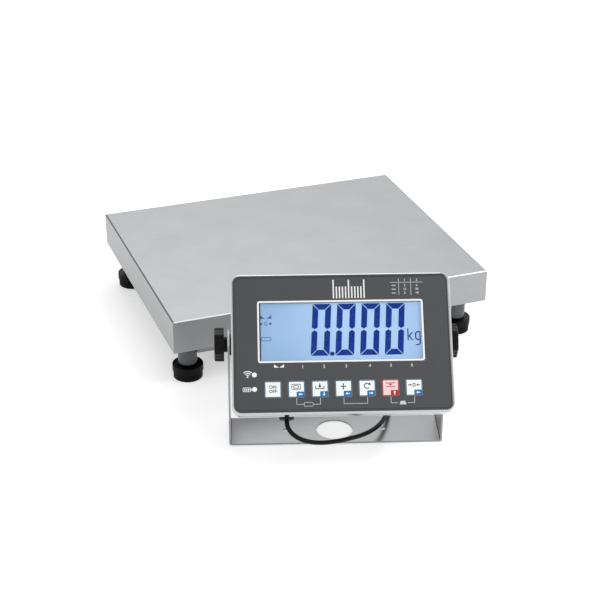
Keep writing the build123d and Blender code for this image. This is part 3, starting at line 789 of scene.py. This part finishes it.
def smooth_line(points: Sequence[Point3], place: Matrix, samples: int = 8) -> list[Vector]:
    """Reads the smooth line of a route.

    Args:
        points: The route's control points, in the place's millimetres.
        place: From those millimetres to metres.
        samples: Points read for each control point.

    Returns:
        The line's points, in metres.
    """
    curve = bpy.data.curves.new("route", "CURVE")
    curve.dimensions = "3D"
    spline = curve.splines.new("NURBS")
    spline.points.add(len(points) - 1)
    for knot, point in zip(spline.points, points):
        knot.co = (*(place @ Vector(point)), 1.0)
    spline.order_u = 3
    spline.use_endpoint_u = True
    spline.resolution_u = samples
    holder = bpy.data.objects.new("route", curve)
    mesh = bpy.data.meshes.new_from_object(holder)
    line = [vertex.co.copy() for vertex in mesh.vertices]
    bpy.data.objects.remove(holder)
    bpy.data.meshes.remove(mesh)
    return line


def swept(name: str, line: Sequence[Vector], radius: float, sides: int = 14) -> Mesh:
    """Sweeps a round section along a line.

    Args:
        name: The mesh's name.
        line: Points of the middle line, in metres.
        radius: Radius of the section, in metres.
        sides: Corners of the section.

    Returns:
        The closed tube.
    """
    build = bmesh.new()
    heading = (line[1] - line[0]).normalized()
    across = heading.orthogonal().normalized()
    rings = []
    for i, here in enumerate(line):
        ahead = (line[min(i + 1, len(line) - 1)] - line[max(i - 1, 0)]).normalized()
        across = (across - ahead * across.dot(ahead)).normalized()
        other = ahead.cross(across)
        turns = [2.0 * math.pi * k / sides for k in range(sides)]
        around = [across * math.cos(t) + other * math.sin(t) for t in turns]
        rings.append([build.verts.new(here + out * radius) for out in around])
    for near, far in zip(rings, rings[1:]):
        for k in range(sides):
            build.faces.new((near[k], near[(k + 1) % sides], far[(k + 1) % sides], far[k]))
    build.faces.new(rings[0][::-1])
    build.faces.new(rings[-1])
    for side in build.faces:
        side.smooth = len(side.verts) == 4
    return mesh_of(name, build)


@dataclass
class SignalCable:
    """The cable from the display to the platform, with its spare length in a tied coil."""

    shop: Workshop
    diameter: float = 5.0
    coil_middle: Point2 = (30.0, 112.0)
    coil_radii: tuple[float, ...] = (37.65, 32.55, 27.45, 22.35)
    layers: Point2 = (3.85, 8.95)
    inward_window: Point2 = (235.0, 335.0)
    outward_window: Point2 = (180.0, 280.0)
    knots_per_turn: int = 18
    end_angle: float = 2610.0
    blend_reach: Point3 = (60.0, 40.0, -20.0)
    display_run: tuple[Point3, ...] = (
        (-56.3, -46.9, 60.6), (-56.3, -51.2, 55.8), (-52.4, -55.8, 51.0), (-47.0, -58.4, 47.0),
        (-40.2, -58.9, 43.0), (-31.1, -56.5, 38.5), (-19.3, -50.3, 33.3), (-5.4, -41.7, 28.9),
        (11.8, -29.5, 24.6), (28.0, -14.0, 19.1), (42.5, 3.9, 15.0), (53.5, 23.7, 12.3),
        (60.8, 46.2, 9.0), (65.6, 69.0, 5.4), (67.4, 87.0, 3.8), (67.5, 102.0, 3.7),
    )
    platform_run: tuple[Point3, ...] = (
        (29.0, 149.5, 8.8), (14.6, 149.5, 8.9), (-1.7, 141.4, 10.8), (-16.8, 132.8, 24.1),
        (-33.2, 137.0, 35.2), (-44.7, 150.1, 41.0), (-49.6, 165.3, 41.0),
    )

    def eased(self, turn: float, window: Point2) -> float:
        """Gives how far a change that happens once a turn has come.

        Args:
            turn: Angle since the start of the turn, in degrees.
            window: Where the change starts and ends, in degrees.

        Returns:
            A smooth share from 0 to 1.
        """
        share = min(1.0, max(0.0, (turn - window[0]) / (window[1] - window[0])))
        return share * share * (3.0 - 2.0 * share)

    def coil_place(self, angle: float) -> Point3:
        """Gives a point of the coil.

        Args:
            angle: Angle wound so far, in degrees, from the east side and counter-clockwise.

        Returns:
            The point, in the stand's millimetres.
        """
        last = len(self.coil_radii) - 1
        turn, rest = int(angle // 360.0), angle % 360.0
        outward = turn > last
        share = self.eased(rest, self.outward_window if outward else self.inward_window)
        here = 2 * last + 1 - turn if outward else turn
        following = max(here - 1, 0) if outward else min(here + 1, last)
        radius = self.coil_radii[here] * (1.0 - share) + self.coil_radii[following] * share
        climb = 1.0 if outward else share * (turn == last)
        reach = radius / math.cos(math.pi / self.knots_per_turn)
        x = self.coil_middle[0] + reach * math.cos(math.radians(angle))
        y = self.coil_middle[1] + reach * math.sin(math.radians(angle))
        return x, y, self.layers[0] * (1.0 - climb) + self.layers[1] * climb

    def build(self) -> None:
        place = stand_matrix()
        step = 360.0 / self.knots_per_turn
        coil = [self.coil_place(step * i) for i in range(int(self.end_angle / step))]
        line = smooth_line((*self.display_run, *coil, *self.platform_run), place)
        mesh = swept("signal_cable", line, self.diameter / 2 * MM)
        piece = linked("signal_cable", mesh)
        mesh.materials.append(self.shop.materials["jacket"])
        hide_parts("display_cable", "platform_cable", "cable_coil")
        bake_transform(piece)


@dataclass
class CellLead:
    """The load cell's own lead, from its end face along the base to the gland."""

    shop: Workshop
    diameter: float = 4.0
    route: tuple[Point3, ...] = (
        (-65.0, 0.0, 59.0), (-79.8, 0.0, 59.0), (-91.8, -6.5, 53.0), (-97.3, -19.7, 47.6),
        (-95.5, -36.5, 46.2), (-88.0, -53.5, 46.3), (-78.0, -70.5, 44.6), (-68.0, -88.0, 42.0),
        (-61.5, -104.0, 41.0), (-60.0, -119.0, 41.0), (-60.0, -131.5, 41.0),
    )

    def build(self) -> None:
        place = Matrix.Translation((0.0, 0.0, -PLATFORM_HEIGHT * MM)) @ Matrix.Scale(MM, 4)
        line = smooth_line(self.route, place)
        mesh = swept("load_cell_wire", line, self.diameter / 2 * MM)
        piece = self.shop.place("load_cell_wire", mesh, "jacket", "base", "cable_jacket")
        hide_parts("load_cell_lead")


@dataclass
class PanelPrint:
    """Everything that is printed on the operating panel and its keys."""

    shop: Workshop
    lift: float = -0.18
    layer: float = 0.02
    window: tuple[float, float, float, float] = (-1.1, 12.7, 177.6, 67.4)
    window_corner: float = 2.5
    ring: float = 1.9
    key_pitch: float = 24.9
    key_row: float = -49.8
    key_size: float = 17.8
    key_face: float = 15.7
    tab: Point2 = (8.4, 5.8)
    arrow: tuple[Point2, ...] = (
        (-2.2, -0.45), (0.2, -0.45), (0.2, -1.5), (2.3, 0.0), (0.2, 1.5), (0.2, 0.45), (-2.2, 0.45),
    )
    arrow_turns: tuple[float, ...] = (180.0, 270.0, 180.0, 0.0, 90.0, 180.0)
    legend_row: float = -25.8
    legends: tuple[tuple[str, float], ...] = (
        ("1", -42.7), ("2", -20.0), ("3", 3.5), ("4", 28.7), ("5", 51.1), ("6", 73.4),
    )
    tick_pitch: float = 3.3
    tick_count: int = 11
    tick_width: float = 1.35
    tick_middle: float = 8.6
    tick_foot: float = 48.4
    tick_tall: float = 20.5
    tick_short: float = 13.0
    table_columns: Point2 = (69.0, 82.0)
    table_rows: Point3 = (61.8, 57.6, 53.4)
    table_values: tuple[int, ...] = (3, 15, 5)
    table_lines: tuple[tuple[Point2, ...], ...] = (
        ((53.5, 65.2), (88.5, 65.2)), ((62.5, 69.5), (62.5, 51.0)), ((75.5, 69.5), (75.5, 51.0)),
    )
    radio_foot: Point2 = (-101.1, -36.0)
    battery_place: Point2 = (-102.2, -49.6)
    bracket_top: float = -59.6
    bracket_foot: float = -66.2
    sign_rise: float = 2.6
    sign_shifts: tuple[float, ...] = (-0.4, -0.2, -0.2, -0.2, -0.2, 0.0)
    place: Matrix = field(default_factory=face_matrix)

    def stencil(self, under: int = 0, at: Point2 = (0.0, 0.0)) -> Stencil:
        """Starts a print on the panel.

        Args:
            under: Number of layers of ink under it.
            at: Its middle on the face.

        Returns:
            The empty print.
        """
        return Stencil(self.place @ Matrix.Translation((*at, 0.0)), self.lift + under * self.layer)

    def letters(
        self, name: str, text: str, height: float, at: Point2, ink: str, body: str = "head"
    ) -> None:
        """Prints plain characters.

        Args:
            name: The piece's name.
            text: The characters.
            height: Height of a capital, in millimetres.
            at: Their middle on the face.
            ink: The ink's key.
            body: The body it rides on.
        """
        mesh = written(text, height, at, self.place, self.lift + self.layer)
        self.shop.place(name, mesh, ink, body, "panel_film")

    def key_x(self, number: int) -> float:
        """Gives the middle of a key.

        Args:
            number: The key's number, from the left.

        Returns:
            Its place across the face.
        """
        return (number - (KEY_COUNT + 1) / 2) * self.key_pitch

    def window_ring(self) -> None:
        """Prints the white line round the window."""
        x, y, width, height = self.window
        ring = self.stencil()
        corner, line = self.window_corner, self.ring
        outer = rounded(x, y, width, height, corner)
        ring.band(outer, rounded(x, y, width - 2 * line, height - 2 * line, corner - 0.9 * line))
        self.shop.printed("window_ring_print", ring, "ink_white")

    def ticks(self) -> None:
        """Prints the short measuring scale above the window."""
        scale = self.stencil()
        for i in range(self.tick_count):
            tall = self.tick_tall if i % 5 == 0 else self.tick_short
            x = self.tick_middle + (i - (self.tick_count - 1) / 2) * self.tick_pitch
            scale.polygon(rounded(x, self.tick_foot + tall / 2, self.tick_width, tall, 0.3, 2))
        self.shop.printed("measuring_scale_print", scale, "ink_white")

    def capacity_table(self) -> None:
        """Prints the small table at the top right."""
        grid = self.stencil()
        for ends in self.table_lines:
            grid.line(ends, 0.45)
        for y in self.table_rows:
            grid.line(((55.0, y), (59.5, y)), 0.8)
        self.shop.printed("capacity_table_print", grid, "ink_grey")
        for column, x in enumerate(self.table_columns, start=1):
            self.letters(f"table_head_{column}_print", str(column), 2.6, (x, 67.6), "ink_grey")
            for row, (y, value) in enumerate(zip(self.table_rows, self.table_values), start=1):
                text = str(column * value)
                self.letters(f"table_cell_{column}_{row}_print", text, 2.4, (x, y), "ink_grey")

    def legend(self) -> None:
        """Prints the row of marks under the window."""
        wedges = self.stencil()
        wedges.polygon(((-73.0, -22.8), (-73.0, -26.2), (-68.0, -26.2)))
        wedges.polygon(((-62.4, -26.2), (-62.4, -22.8), (-67.4, -26.2)))
        self.shop.printed("stable_mark_print", wedges, "ink_white")
        for text, x in self.legends:
            self.letters(f"legend_{text}_print", text, 3.3, (x, self.legend_row), "ink_grey")

    def status_icons(self) -> None:
        """Prints the radio waves and the battery beside the two status lights."""
        waves = self.stencil()
        line = 0.9
        for radius in (2.6, 4.6, 6.6):
            outer, inner = (arc(*self.radio_foot, r, 45.0, 135.0) for r in (radius, radius - line))
            waves.band(outer, inner, closed=False)
        waves.polygon(arc(*self.radio_foot, line, 0.0, 330.0, 11))
        self.shop.printed("radio_print", waves, "ink_white")
        cell = self.stencil()
        x, y = self.battery_place
        cell.band(rounded(x, y, 8.4, 4.6, 0.7, 3), rounded(x, y, 7.2, 3.4, 0.3, 3))
        cell.polygon(rounded(x + 4.7, y, 0.9, 2.0, 0.2, 2))
        for step in (-2.0, 0.0, 2.0):
            cell.polygon(rounded(x + step, y, 1.2, 2.2, 0.2, 2))
        self.shop.printed("battery_print", cell, "ink_white")

    def brackets(self) -> None:
        """Prints the brackets that join pairs of keys."""
        foot = self.bracket_foot
        for left, reach in ((2, 5.2), (4, 0.25), (6, 5.2)):
            x0, x1 = self.key_x(left), self.key_x(left + 1)
            middle = (x0 + x1) / 2
            join = self.stencil()
            for x, inner in ((x0, middle - reach), (x1, middle + reach)):
                join.line(((x, self.bracket_top), (x, foot), (inner, foot)), 0.5)
            if left == 2:
                join.band(rounded(middle, foot, 9.8, 4.4, 1.0, 3), rounded(middle, foot, 8.9, 3.5, 0.6, 3))
            if left == 6:
                low, high = foot - 1.8, foot + 2.0
                corners = ((-3.6, low), (3.6, low), (2.4, high), (-2.4, high))
                join.polygon([(middle + x, y) for x, y in corners])
            self.shop.printed(f"bracket_{left}_{left + 1}_print", join, "ink_grey")

    def key_face_print(self, number: int) -> None:
        """Prints one key's outline, face and corner tab.

        Args:
            number: The key's number, from the left.
        """
        x, red = self.key_x(number), number == RED_KEY
        rides = (f"key_{number}", "key_red" if red else "key_white")
        edge = self.stencil(0, (x, self.key_row))
        size, inner = self.key_size - 0.2, self.key_face
        edge.band(rounded(0.0, 0.0, size, size, 1.4), rounded(0.0, 0.0, inner, inner, 0.5))
        self.shop.printed(f"key_{number}_edge_print", edge, "ink_red" if red else "ink_teal", *rides)
        if number == 1:
            return
        reach = inner / 2 + 0.5
        corner = (x + reach - self.tab[0] / 2, self.key_row - reach + self.tab[1] / 2)
        tab = self.stencil(1, corner)
        tab.polygon(rounded(0.0, 0.0, *self.tab, 0.9, 4))
        self.shop.printed(f"key_{number}_tab_print", tab, "ink_red" if red else "ink_blue", *rides)
        arrow = self.stencil(2, corner)
        spin = Matrix.Rotation(math.radians(self.arrow_turns[number - 2]), 2)
        arrow.polygon([tuple(spin @ Vector(p)) for p in self.arrow])
        self.shop.printed(f"key_{number}_arrow_print", arrow, "ink_white", *rides)

    def key_signs(self) -> None:
        """Prints each key's sign."""
        for word, rise in (("ON", 2.5), ("OFF", -2.1)):
            place = (self.key_x(1), self.key_row + rise)
            self.letters(f"key_1_{word.lower()}_print", word, 3.4, place, "ink_dark", "key_1")
        row = self.key_row + self.sign_rise
        places = [(self.key_x(n) + shift, row) for n, shift in enumerate(self.sign_shifts, start=2)]
        signs = [self.stencil(1, place) for place in places]
        frames, page, plus, loop, beam, zero = signs
        for width in (9.6, 5.6):
            sizes = ((width, width * 0.62, 0.6), (width - 1.3, width * 0.62 - 1.3, 0.3))
            frames.band(*(rounded(0.0, 0.0, *size, 2) for size in sizes))
        page.line(((-4.4, 0.6), (-4.4, -2.4), (4.4, -2.4), (4.4, 0.6)), 0.9)
        page.polygon(((-2.1, 0.9), (2.1, 0.9), (0.0, -1.5)))
        page.polygon(rounded(0.0, 2.0, 1.2, 2.4, 0.1, 2))
        plus.polygon(rounded(0.0, -0.4, 6.0, 1.1, 0.2, 2))
        for y in (1.65, -2.45):
            plus.polygon(rounded(0.0, y, 1.1, 2.8, 0.1, 2))
        loop.band(*(arc(0.0, -0.2, radius, 30.0, 320.0, 18) for radius in (3.2, 2.2)), closed=False)
        loop.polygon(((1.2, 1.0), (4.4, 0.4), (3.2, 3.4)))
        for y in (2.4, -1.6):
            beam.line(((-5.0, y), (5.0, y)), 0.8)
        beam.polygon(((-1.9, 1.6), (1.9, 1.6), (0.0, -0.9)))
        zero.band(rounded(0.0, 0.0, 3.2, 4.4, 1.5), rounded(0.0, 0.0, 1.6, 2.8, 0.7))
        for side in (-1, 1):
            zero.line(((side * 6.4, 0.0), (side * 3.9, 0.0)), 0.8)
            zero.polygon(((side * 4.3, 1.5), (side * 4.3, -1.5), (side * 2.4, 0.0)))
        for number, sign in enumerate(signs, start=2):
            ink, slot = ("ink_red", "key_red") if number == RED_KEY else ("ink_dark", "key_white")
            self.shop.printed(f"key_{number}_sign_print", sign, ink, f"key_{number}", slot)

    def build(self) -> None:
        """Prints the panel and its keys."""
        self.window_ring()
        self.ticks()
        self.capacity_table()
        self.legend()
        self.status_icons()
        self.brackets()
        for number in range(1, KEY_COUNT + 1):
            self.key_face_print(number)
        self.key_signs()


@dataclass
class CrystalReadout:
    """The driven segments and signs of the liquid crystal."""

    shop: Workshop
    depth: float = -3.97
    digit: Point2 = (20.0, 56.6)
    middles: tuple[float, ...] = (-22.0, 4.3, 30.7, 57.0)
    middle_up: float = 15.0
    lean: float = 0.064
    bar: float = 6.3
    gap: float = 0.5
    point: tuple[Point2, ...] = ((-12.9, -9.4), (-8.3, -9.4), (-8.5, -13.4), (-13.1, -13.4))
    marks_x: float = -80.8
    marks_up: Point3 = (28.0, 22.4, 5.6)
    unit_line: float = 1.3
    unit_strokes: tuple[tuple[Point2, ...], ...] = (
        ((70.9, 14.9), (70.9, 1.9)),
        ((75.7, 10.9), (72.0, 6.7), (76.1, 1.9)),
        ((83.0, 11.2), (80.6, 11.2), (79.0, 9.6), (79.0, 4.2), (80.6, 2.6), (83.0, 2.6)),
        ((83.7, 11.9), (83.7, -1.3), (82.2, -2.8), (78.9, -2.8)),
    )

    def leaning(self, middle: float, points: Sequence[Point2]) -> list[Point2]:
        """Moves points of an upright digit to a leaning one.

        Args:
            middle: Middle of the digit, across.
            points: Points round the digit's own middle.

        Returns:
            The points on the face.
        """
        return [(middle + u + self.lean * v, self.middle_up + v) for u, v in points]

    def zero(self, middle: float, print_: Stencil) -> None:
        """Adds the six driven segments of a zero.

        Args:
            middle: Middle of the digit, across.
            print_: The stencil to fill.
        """
        w, h, t, g = self.digit[0] / 2, self.digit[1] / 2, self.bar, self.gap
        cross = ((-w + g, h), (w - g, h), (w - t - g, h - t), (-w + t + g, h - t))
        post = ((w, h - g), (w, 2.6), (w - t / 2, g), (w - t, 2.6), (w - t, h - t - g))
        for up in (1, -1):
            print_.polygon(self.leaning(middle, [(u, up * v) for u, v in cross]))
            for side in (1, -1):
                print_.polygon(self.leaning(middle, [(side * u, up * v) for u, v in post]))

    def build(self) -> None:
        """Builds the readout."""
        digits, unit, marks = (Stencil(face_matrix(), self.depth) for _ in range(3))
        for middle in self.middles:
            self.zero(middle, digits)
        digits.polygon(self.point)
        for stroke in self.unit_strokes:
            unit.line(stroke, self.unit_line)
        x, (stable, zero, gross) = self.marks_x, self.marks_up
        for side in (-1, 1):
            far, near = x + side * 6.2, x + side * 0.6
            marks.polygon(((far, stable + 4.0), (far, stable), (near, stable)))
            far, near = x + side * 6.0, x + side * 2.4
            marks.polygon(((far, zero + 1.8), (far, zero - 1.8), (near, zero)))
        marks.band(rounded(x, zero, 2.8, 4.2, 1.3), rounded(x, zero, 1.5, 2.9, 0.7))
        marks.band(rounded(x, gross, 11.0, 4.2, 0.8, 3), rounded(x, gross, 9.6, 2.8, 0.3, 3))
        self.shop.printed("digit_segments", digits, "segment", slot="lcd")
        self.shop.printed("unit_segments", unit, "segment", slot="lcd")
        self.shop.printed("status_segments", marks, "segment_faint", slot="lcd")


@dataclass
class Level:
    """Bubble and ring mark of the level on the base."""

    shop: Workshop
    middle: Point2 = (0.0, 129.0)
    top: float = -23.5
    ring_radius: float = 3.2
    bubble_radius: float = 2.3
    squash: float = 0.35
    line: float = 0.35

    def build(self) -> None:
        """Builds the bubble and the ring."""
        x, y = self.middle
        build = bmesh.new()
        flat = Matrix.Translation((x, y, self.top - 1.0)) @ Matrix.Diagonal((1.0, 1.0, self.squash, 1.0))
        bmesh.ops.create_uvsphere(build, u_segments=28, v_segments=14, radius=self.bubble_radius, matrix=flat)
        bmesh.ops.scale(build, vec=(MM, MM, MM), verts=build.verts)
        for side in build.faces:
            side.smooth = True
        self.shop.place("level_bubble", mesh_of("level_bubble", build), "bubble", "base", "level_vial")
        ring = Stencil(Matrix.Scale(MM, 4), self.top + 0.02)
        radii = (self.ring_radius, self.ring_radius - self.line)
        ring.band(*(arc(x, y, radius, 0.0, 350.0, 35) for radius in radii))
        self.shop.printed("level_ring_print", ring, "ink_dark", "base", "level_vial")


@dataclass
class Welds:
    """Weld beads at both ends of the base's beam, where it meets the rails."""

    shop: Workshop
    width: float = 3.2
    height: float = 1.5
    ripple: float = 2.2
    ripple_depth: float = 0.12
    sides: int = 7

    def bead(self, start: Point3, end: Point3, out: Point3) -> Mesh:
        """Lays one rippled bead along a straight joint.

        Args:
            start: One end, in millimetres.
            end: The other end.
            out: Direction away from the joint's corner.

        Returns:
            The bead.
        """
        build = bmesh.new()
        a, b, away = Vector(start), Vector(end), Vector(out).normalized()
        along = (b - a).normalized()
        side = along.cross(away)
        count = max(6, int((b - a).length / (self.ripple / 4)))
        rows = []
        for i in range(count + 1):
            share = i / count
            wave = 1.0 + self.ripple_depth * math.sin(2.0 * math.pi * share * (b - a).length / self.ripple)
            size = wave * math.sqrt(max(0.0, 1.0 - (2.0 * share - 1.0) ** 8)) + 0.02
            here = a.lerp(b, share)
            turns = [math.pi * k / self.sides for k in range(self.sides + 1)]
            across, up = size * self.width / 2, size * self.height
            places = [here + side * (math.cos(t) * across) + away * (math.sin(t) * up) for t in turns]
            rows.append([build.verts.new(place) for place in places])
        for near, far in zip(rows, rows[1:]):
            for k in range(self.sides):
                build.faces.new((near[k], near[k + 1], far[k + 1], far[k])).smooth = True
        bmesh.ops.scale(build, vec=(MM, MM, MM), verts=build.verts)
        bmesh.ops.recalc_face_normals(build, faces=build.faces)
        return mesh_of("weld_bead", build)

    def build(self) -> None:
        """Lays the beads on both sides of each end of the beam, and along the top of each end."""
        beam_low, beam_high = (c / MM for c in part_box("base_beam"))
        count = 0
        for sx in (-1, 1):
            x = sx * (beam_high.x - 0.3)
            for sy in (-1, 1):
                count += 1
                y = sy * beam_high.y
                bead = self.bead((x, y, beam_low.z + 1.0), (x, y, beam_high.z - 0.5), (-sx, sy, 0.0))
                self.shop.place(f"beam_weld_{count}", bead, "weld", "base", "frame_steel")
            z = beam_high.z
            top = self.bead((x, beam_low.y + 2.0, z), (x, beam_high.y - 2.0, z), (-sx, 0.0, 1.0))
            hand = "left" if sx < 0 else "right"
            self.shop.place(f"beam_top_weld_{hand}", top, "weld", "base", "frame_steel")


@dataclass
class ScrewSockets:
    """Painted shade of the hexagon sockets in the heads of the housing's screws, which face backward: dark
    flat hexagons in place of hollows.
    """

    shop: Workshop
    places: Point2 = (107.2, 65.69)
    head_back: float = 18.0
    lift: float = 0.03
    across: float = 2.9

    def build(self) -> None:
        """Paints the shade of the four sockets."""
        backward = face_matrix() @ Matrix.Rotation(math.pi, 4, "Y")
        sockets = Stencil(backward, self.head_back + self.lift)
        for sx in (-1, 1):
            for sy in (-1, 1):
                x, y = sx * self.places[0], sy * self.places[1]
                sockets.polygon(arc(x, y, self.across / 2, 0.0, 300.0, 5))
        # The dark ink is painted shade, standing in for each socket's hollow.
        self.shop.printed("housing_screw_socket_shade", sockets, "ink_dark", slot="fastener_steel")


@dataclass
class Studio:
    """Pale floor, soft light and the camera."""

    floor_size: float = 40.0
    floor_grey: float = 0.86
    floor_glow: float = 0.45
    room_light: float = 0.7
    camera_place: Point3 = (-0.62119, -1.72607, 0.87216)
    camera_turn: Point3 = (62.4698, -0.2306, -20.0998)
    lens: float = 95.88
    sensor: float = 36.0
    lit_place: Point3 = (0.0, 0.0, -0.05)
    lamps: tuple[tuple[str, Point3, float, float], ...] = (
        ("key_softbox", (1.5, -1.6, 2.2), 1.8, 34.0),
        ("back_softbox", (0.4, 2.0, 2.4), 1.8, 18.0),
    )

    def camera(self) -> None:
        """Sets the camera at the photograph's angle."""
        data = bpy.data.cameras.new("view_camera")
        data.lens = self.lens
        data.sensor_width = self.sensor
        holder = linked("view_camera", data)
        holder.location = self.camera_place
        holder.rotation_euler = [math.radians(turn) for turn in self.camera_turn]
        bpy.context.scene.camera = holder

    def floor(self) -> None:
        """Lays the floor, which shows white where no shadow falls on it."""
        graph = Graph(bpy.data.materials.new("pale_studio_floor"))
        grey = (*(self.floor_grey,) * 3, 1.0)
        graph.fill(graph.shader, {"Base Color": grey, "Roughness": 0.9, "Specular IOR Level": 0.0})
        glow = graph.calculate("MULTIPLY", graph.seen(), self.floor_glow)
        white = graph.add("Emission", {"Strength": glow})
        both = graph.add("AddShader", {0: graph.shader.outputs[0], 1: white.outputs[0]})
        graph.fill(graph.output, {"Surface": both.outputs[0]})
        build = bmesh.new()
        bmesh.ops.create_grid(build, x_segments=1, y_segments=1, size=self.floor_size / 2)
        mesh = mesh_of("studio_floor", build)
        mesh.materials.append(graph.owner)
        piece = linked("studio_floor", mesh)
        piece.location.z = -PLATFORM_HEIGHT * MM - 0.0001

    def world(self) -> None:
        """Gives the room's even light, and white where it is seen."""
        room = bpy.data.worlds.new("studio_room")
        bpy.context.scene.world = room
        graph = Graph(room)
        span = graph.add("MapRange", {"Value": graph.seen(), "To Min": self.room_light, "To Max": 1.0})
        graph.fill(graph.shader, {"Color": "#FFFFFF", "Strength": span.outputs[0]})

    def light(self) -> None:
        """Hangs the softboxes."""
        for name, place, size, power in self.lamps:
            data = bpy.data.lights.new(name, "AREA")
            data.size = size
            data.energy = power
            lamp = linked(name, data)
            lamp.location = place
            aim = Vector(self.lit_place) - Vector(place)
            lamp.rotation_euler = aim.to_track_quat("-Z", "Y").to_euler()

    def build(self) -> None:
        """Builds the studio."""
        bpy.context.scene.view_settings.view_transform = "Standard"
        self.camera()
        self.floor()
        self.world()
        self.light()


CORNERS = ("front_left", "front_right", "rear_left", "rear_right")
NODE_FINISHES: dict[str, tuple[str, ...]] = {
    "plate": ("weighing_plate",),
    "frame": (
        "upper_beam", "upper_arm_left", "upper_arm_right", "base_beam",
        "base_rail_left", "base_rail_right", "base_rail_front", "base_rail_rear",
    ),
    "cell": ("load_cell", "load_cell_covers", "load_cell_spacers"),
    "zinc": ("load_cell_bolts", "overload_stops", "housing_screws", "clamp_screw_left", "clamp_screw_right"),
    "tube": ("foot_tubes",),
    "rubber": ("plate_buffers", *(f"foot_pad_{corner}" for corner in CORNERS)),
    "nylon": (
        *(f"foot_screw_{corner}" for corner in CORNERS),
        "platform_gland", "display_gland", "clamp_knob_left", "clamp_knob_right", "cable_tie",
    ),
    "cup": ("level_cup",),
    "vial": ("level_vial",),
    "stand": ("display_stand",),
    "rim": ("front_housing",),
    "shell": ("rear_housing",),
    "foam": ("housing_gasket",),
    "film": ("operating_panel",),
    "window": ("display_window",),
    "crystal": ("lcd_glass",),
    "diffuser": ("lcd_backlight",),
    "board": ("display_board", "main_board"),
    "dome": ("snap_domes",),
    "lens": ("status_lights",),
    "battery": ("battery",),
    "key": tuple(f"key_{number}" for number in range(1, KEY_COUNT + 1) if number != RED_KEY),
    "key_red": (f"key_{RED_KEY}",),
    "brass": ("pivot_bosses",),
    "washer": ("pivot_washers",),
    "jacket": ("display_cable", "platform_cable", "cable_coil", "load_cell_lead"),
}


def main() -> None:
    """Builds the scene piece by piece."""
    logging.basicConfig(level=logging.INFO, format="%(message)s")
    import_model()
    Studio().build()
    materials = finishes()
    materials["window"] = glass("clear_window_sheet", "#F4F8FB", 0.02, 1.12)
    materials["vial"] = glass("clear_vial_acrylic", "#D9EFA8", 0.04, 1.3)
    materials["bubble"] = glass("air_bubble", "#F6FBEA", 0.03, 1.05)
    materials["crystal"] = lit_crystal()
    materials["segment"] = segment_ink()
    shop = Workshop(materials)
    SignalCable(shop).build()
    CellLead(shop).build()
    for key, nodes in NODE_FINISHES.items():
        shop.paint(nodes, key)
    for dressing in (PanelPrint, CrystalReadout, Level, Welds, ScrewSockets):
        dressing(shop).build()


if __name__ == "__main__":
    main()
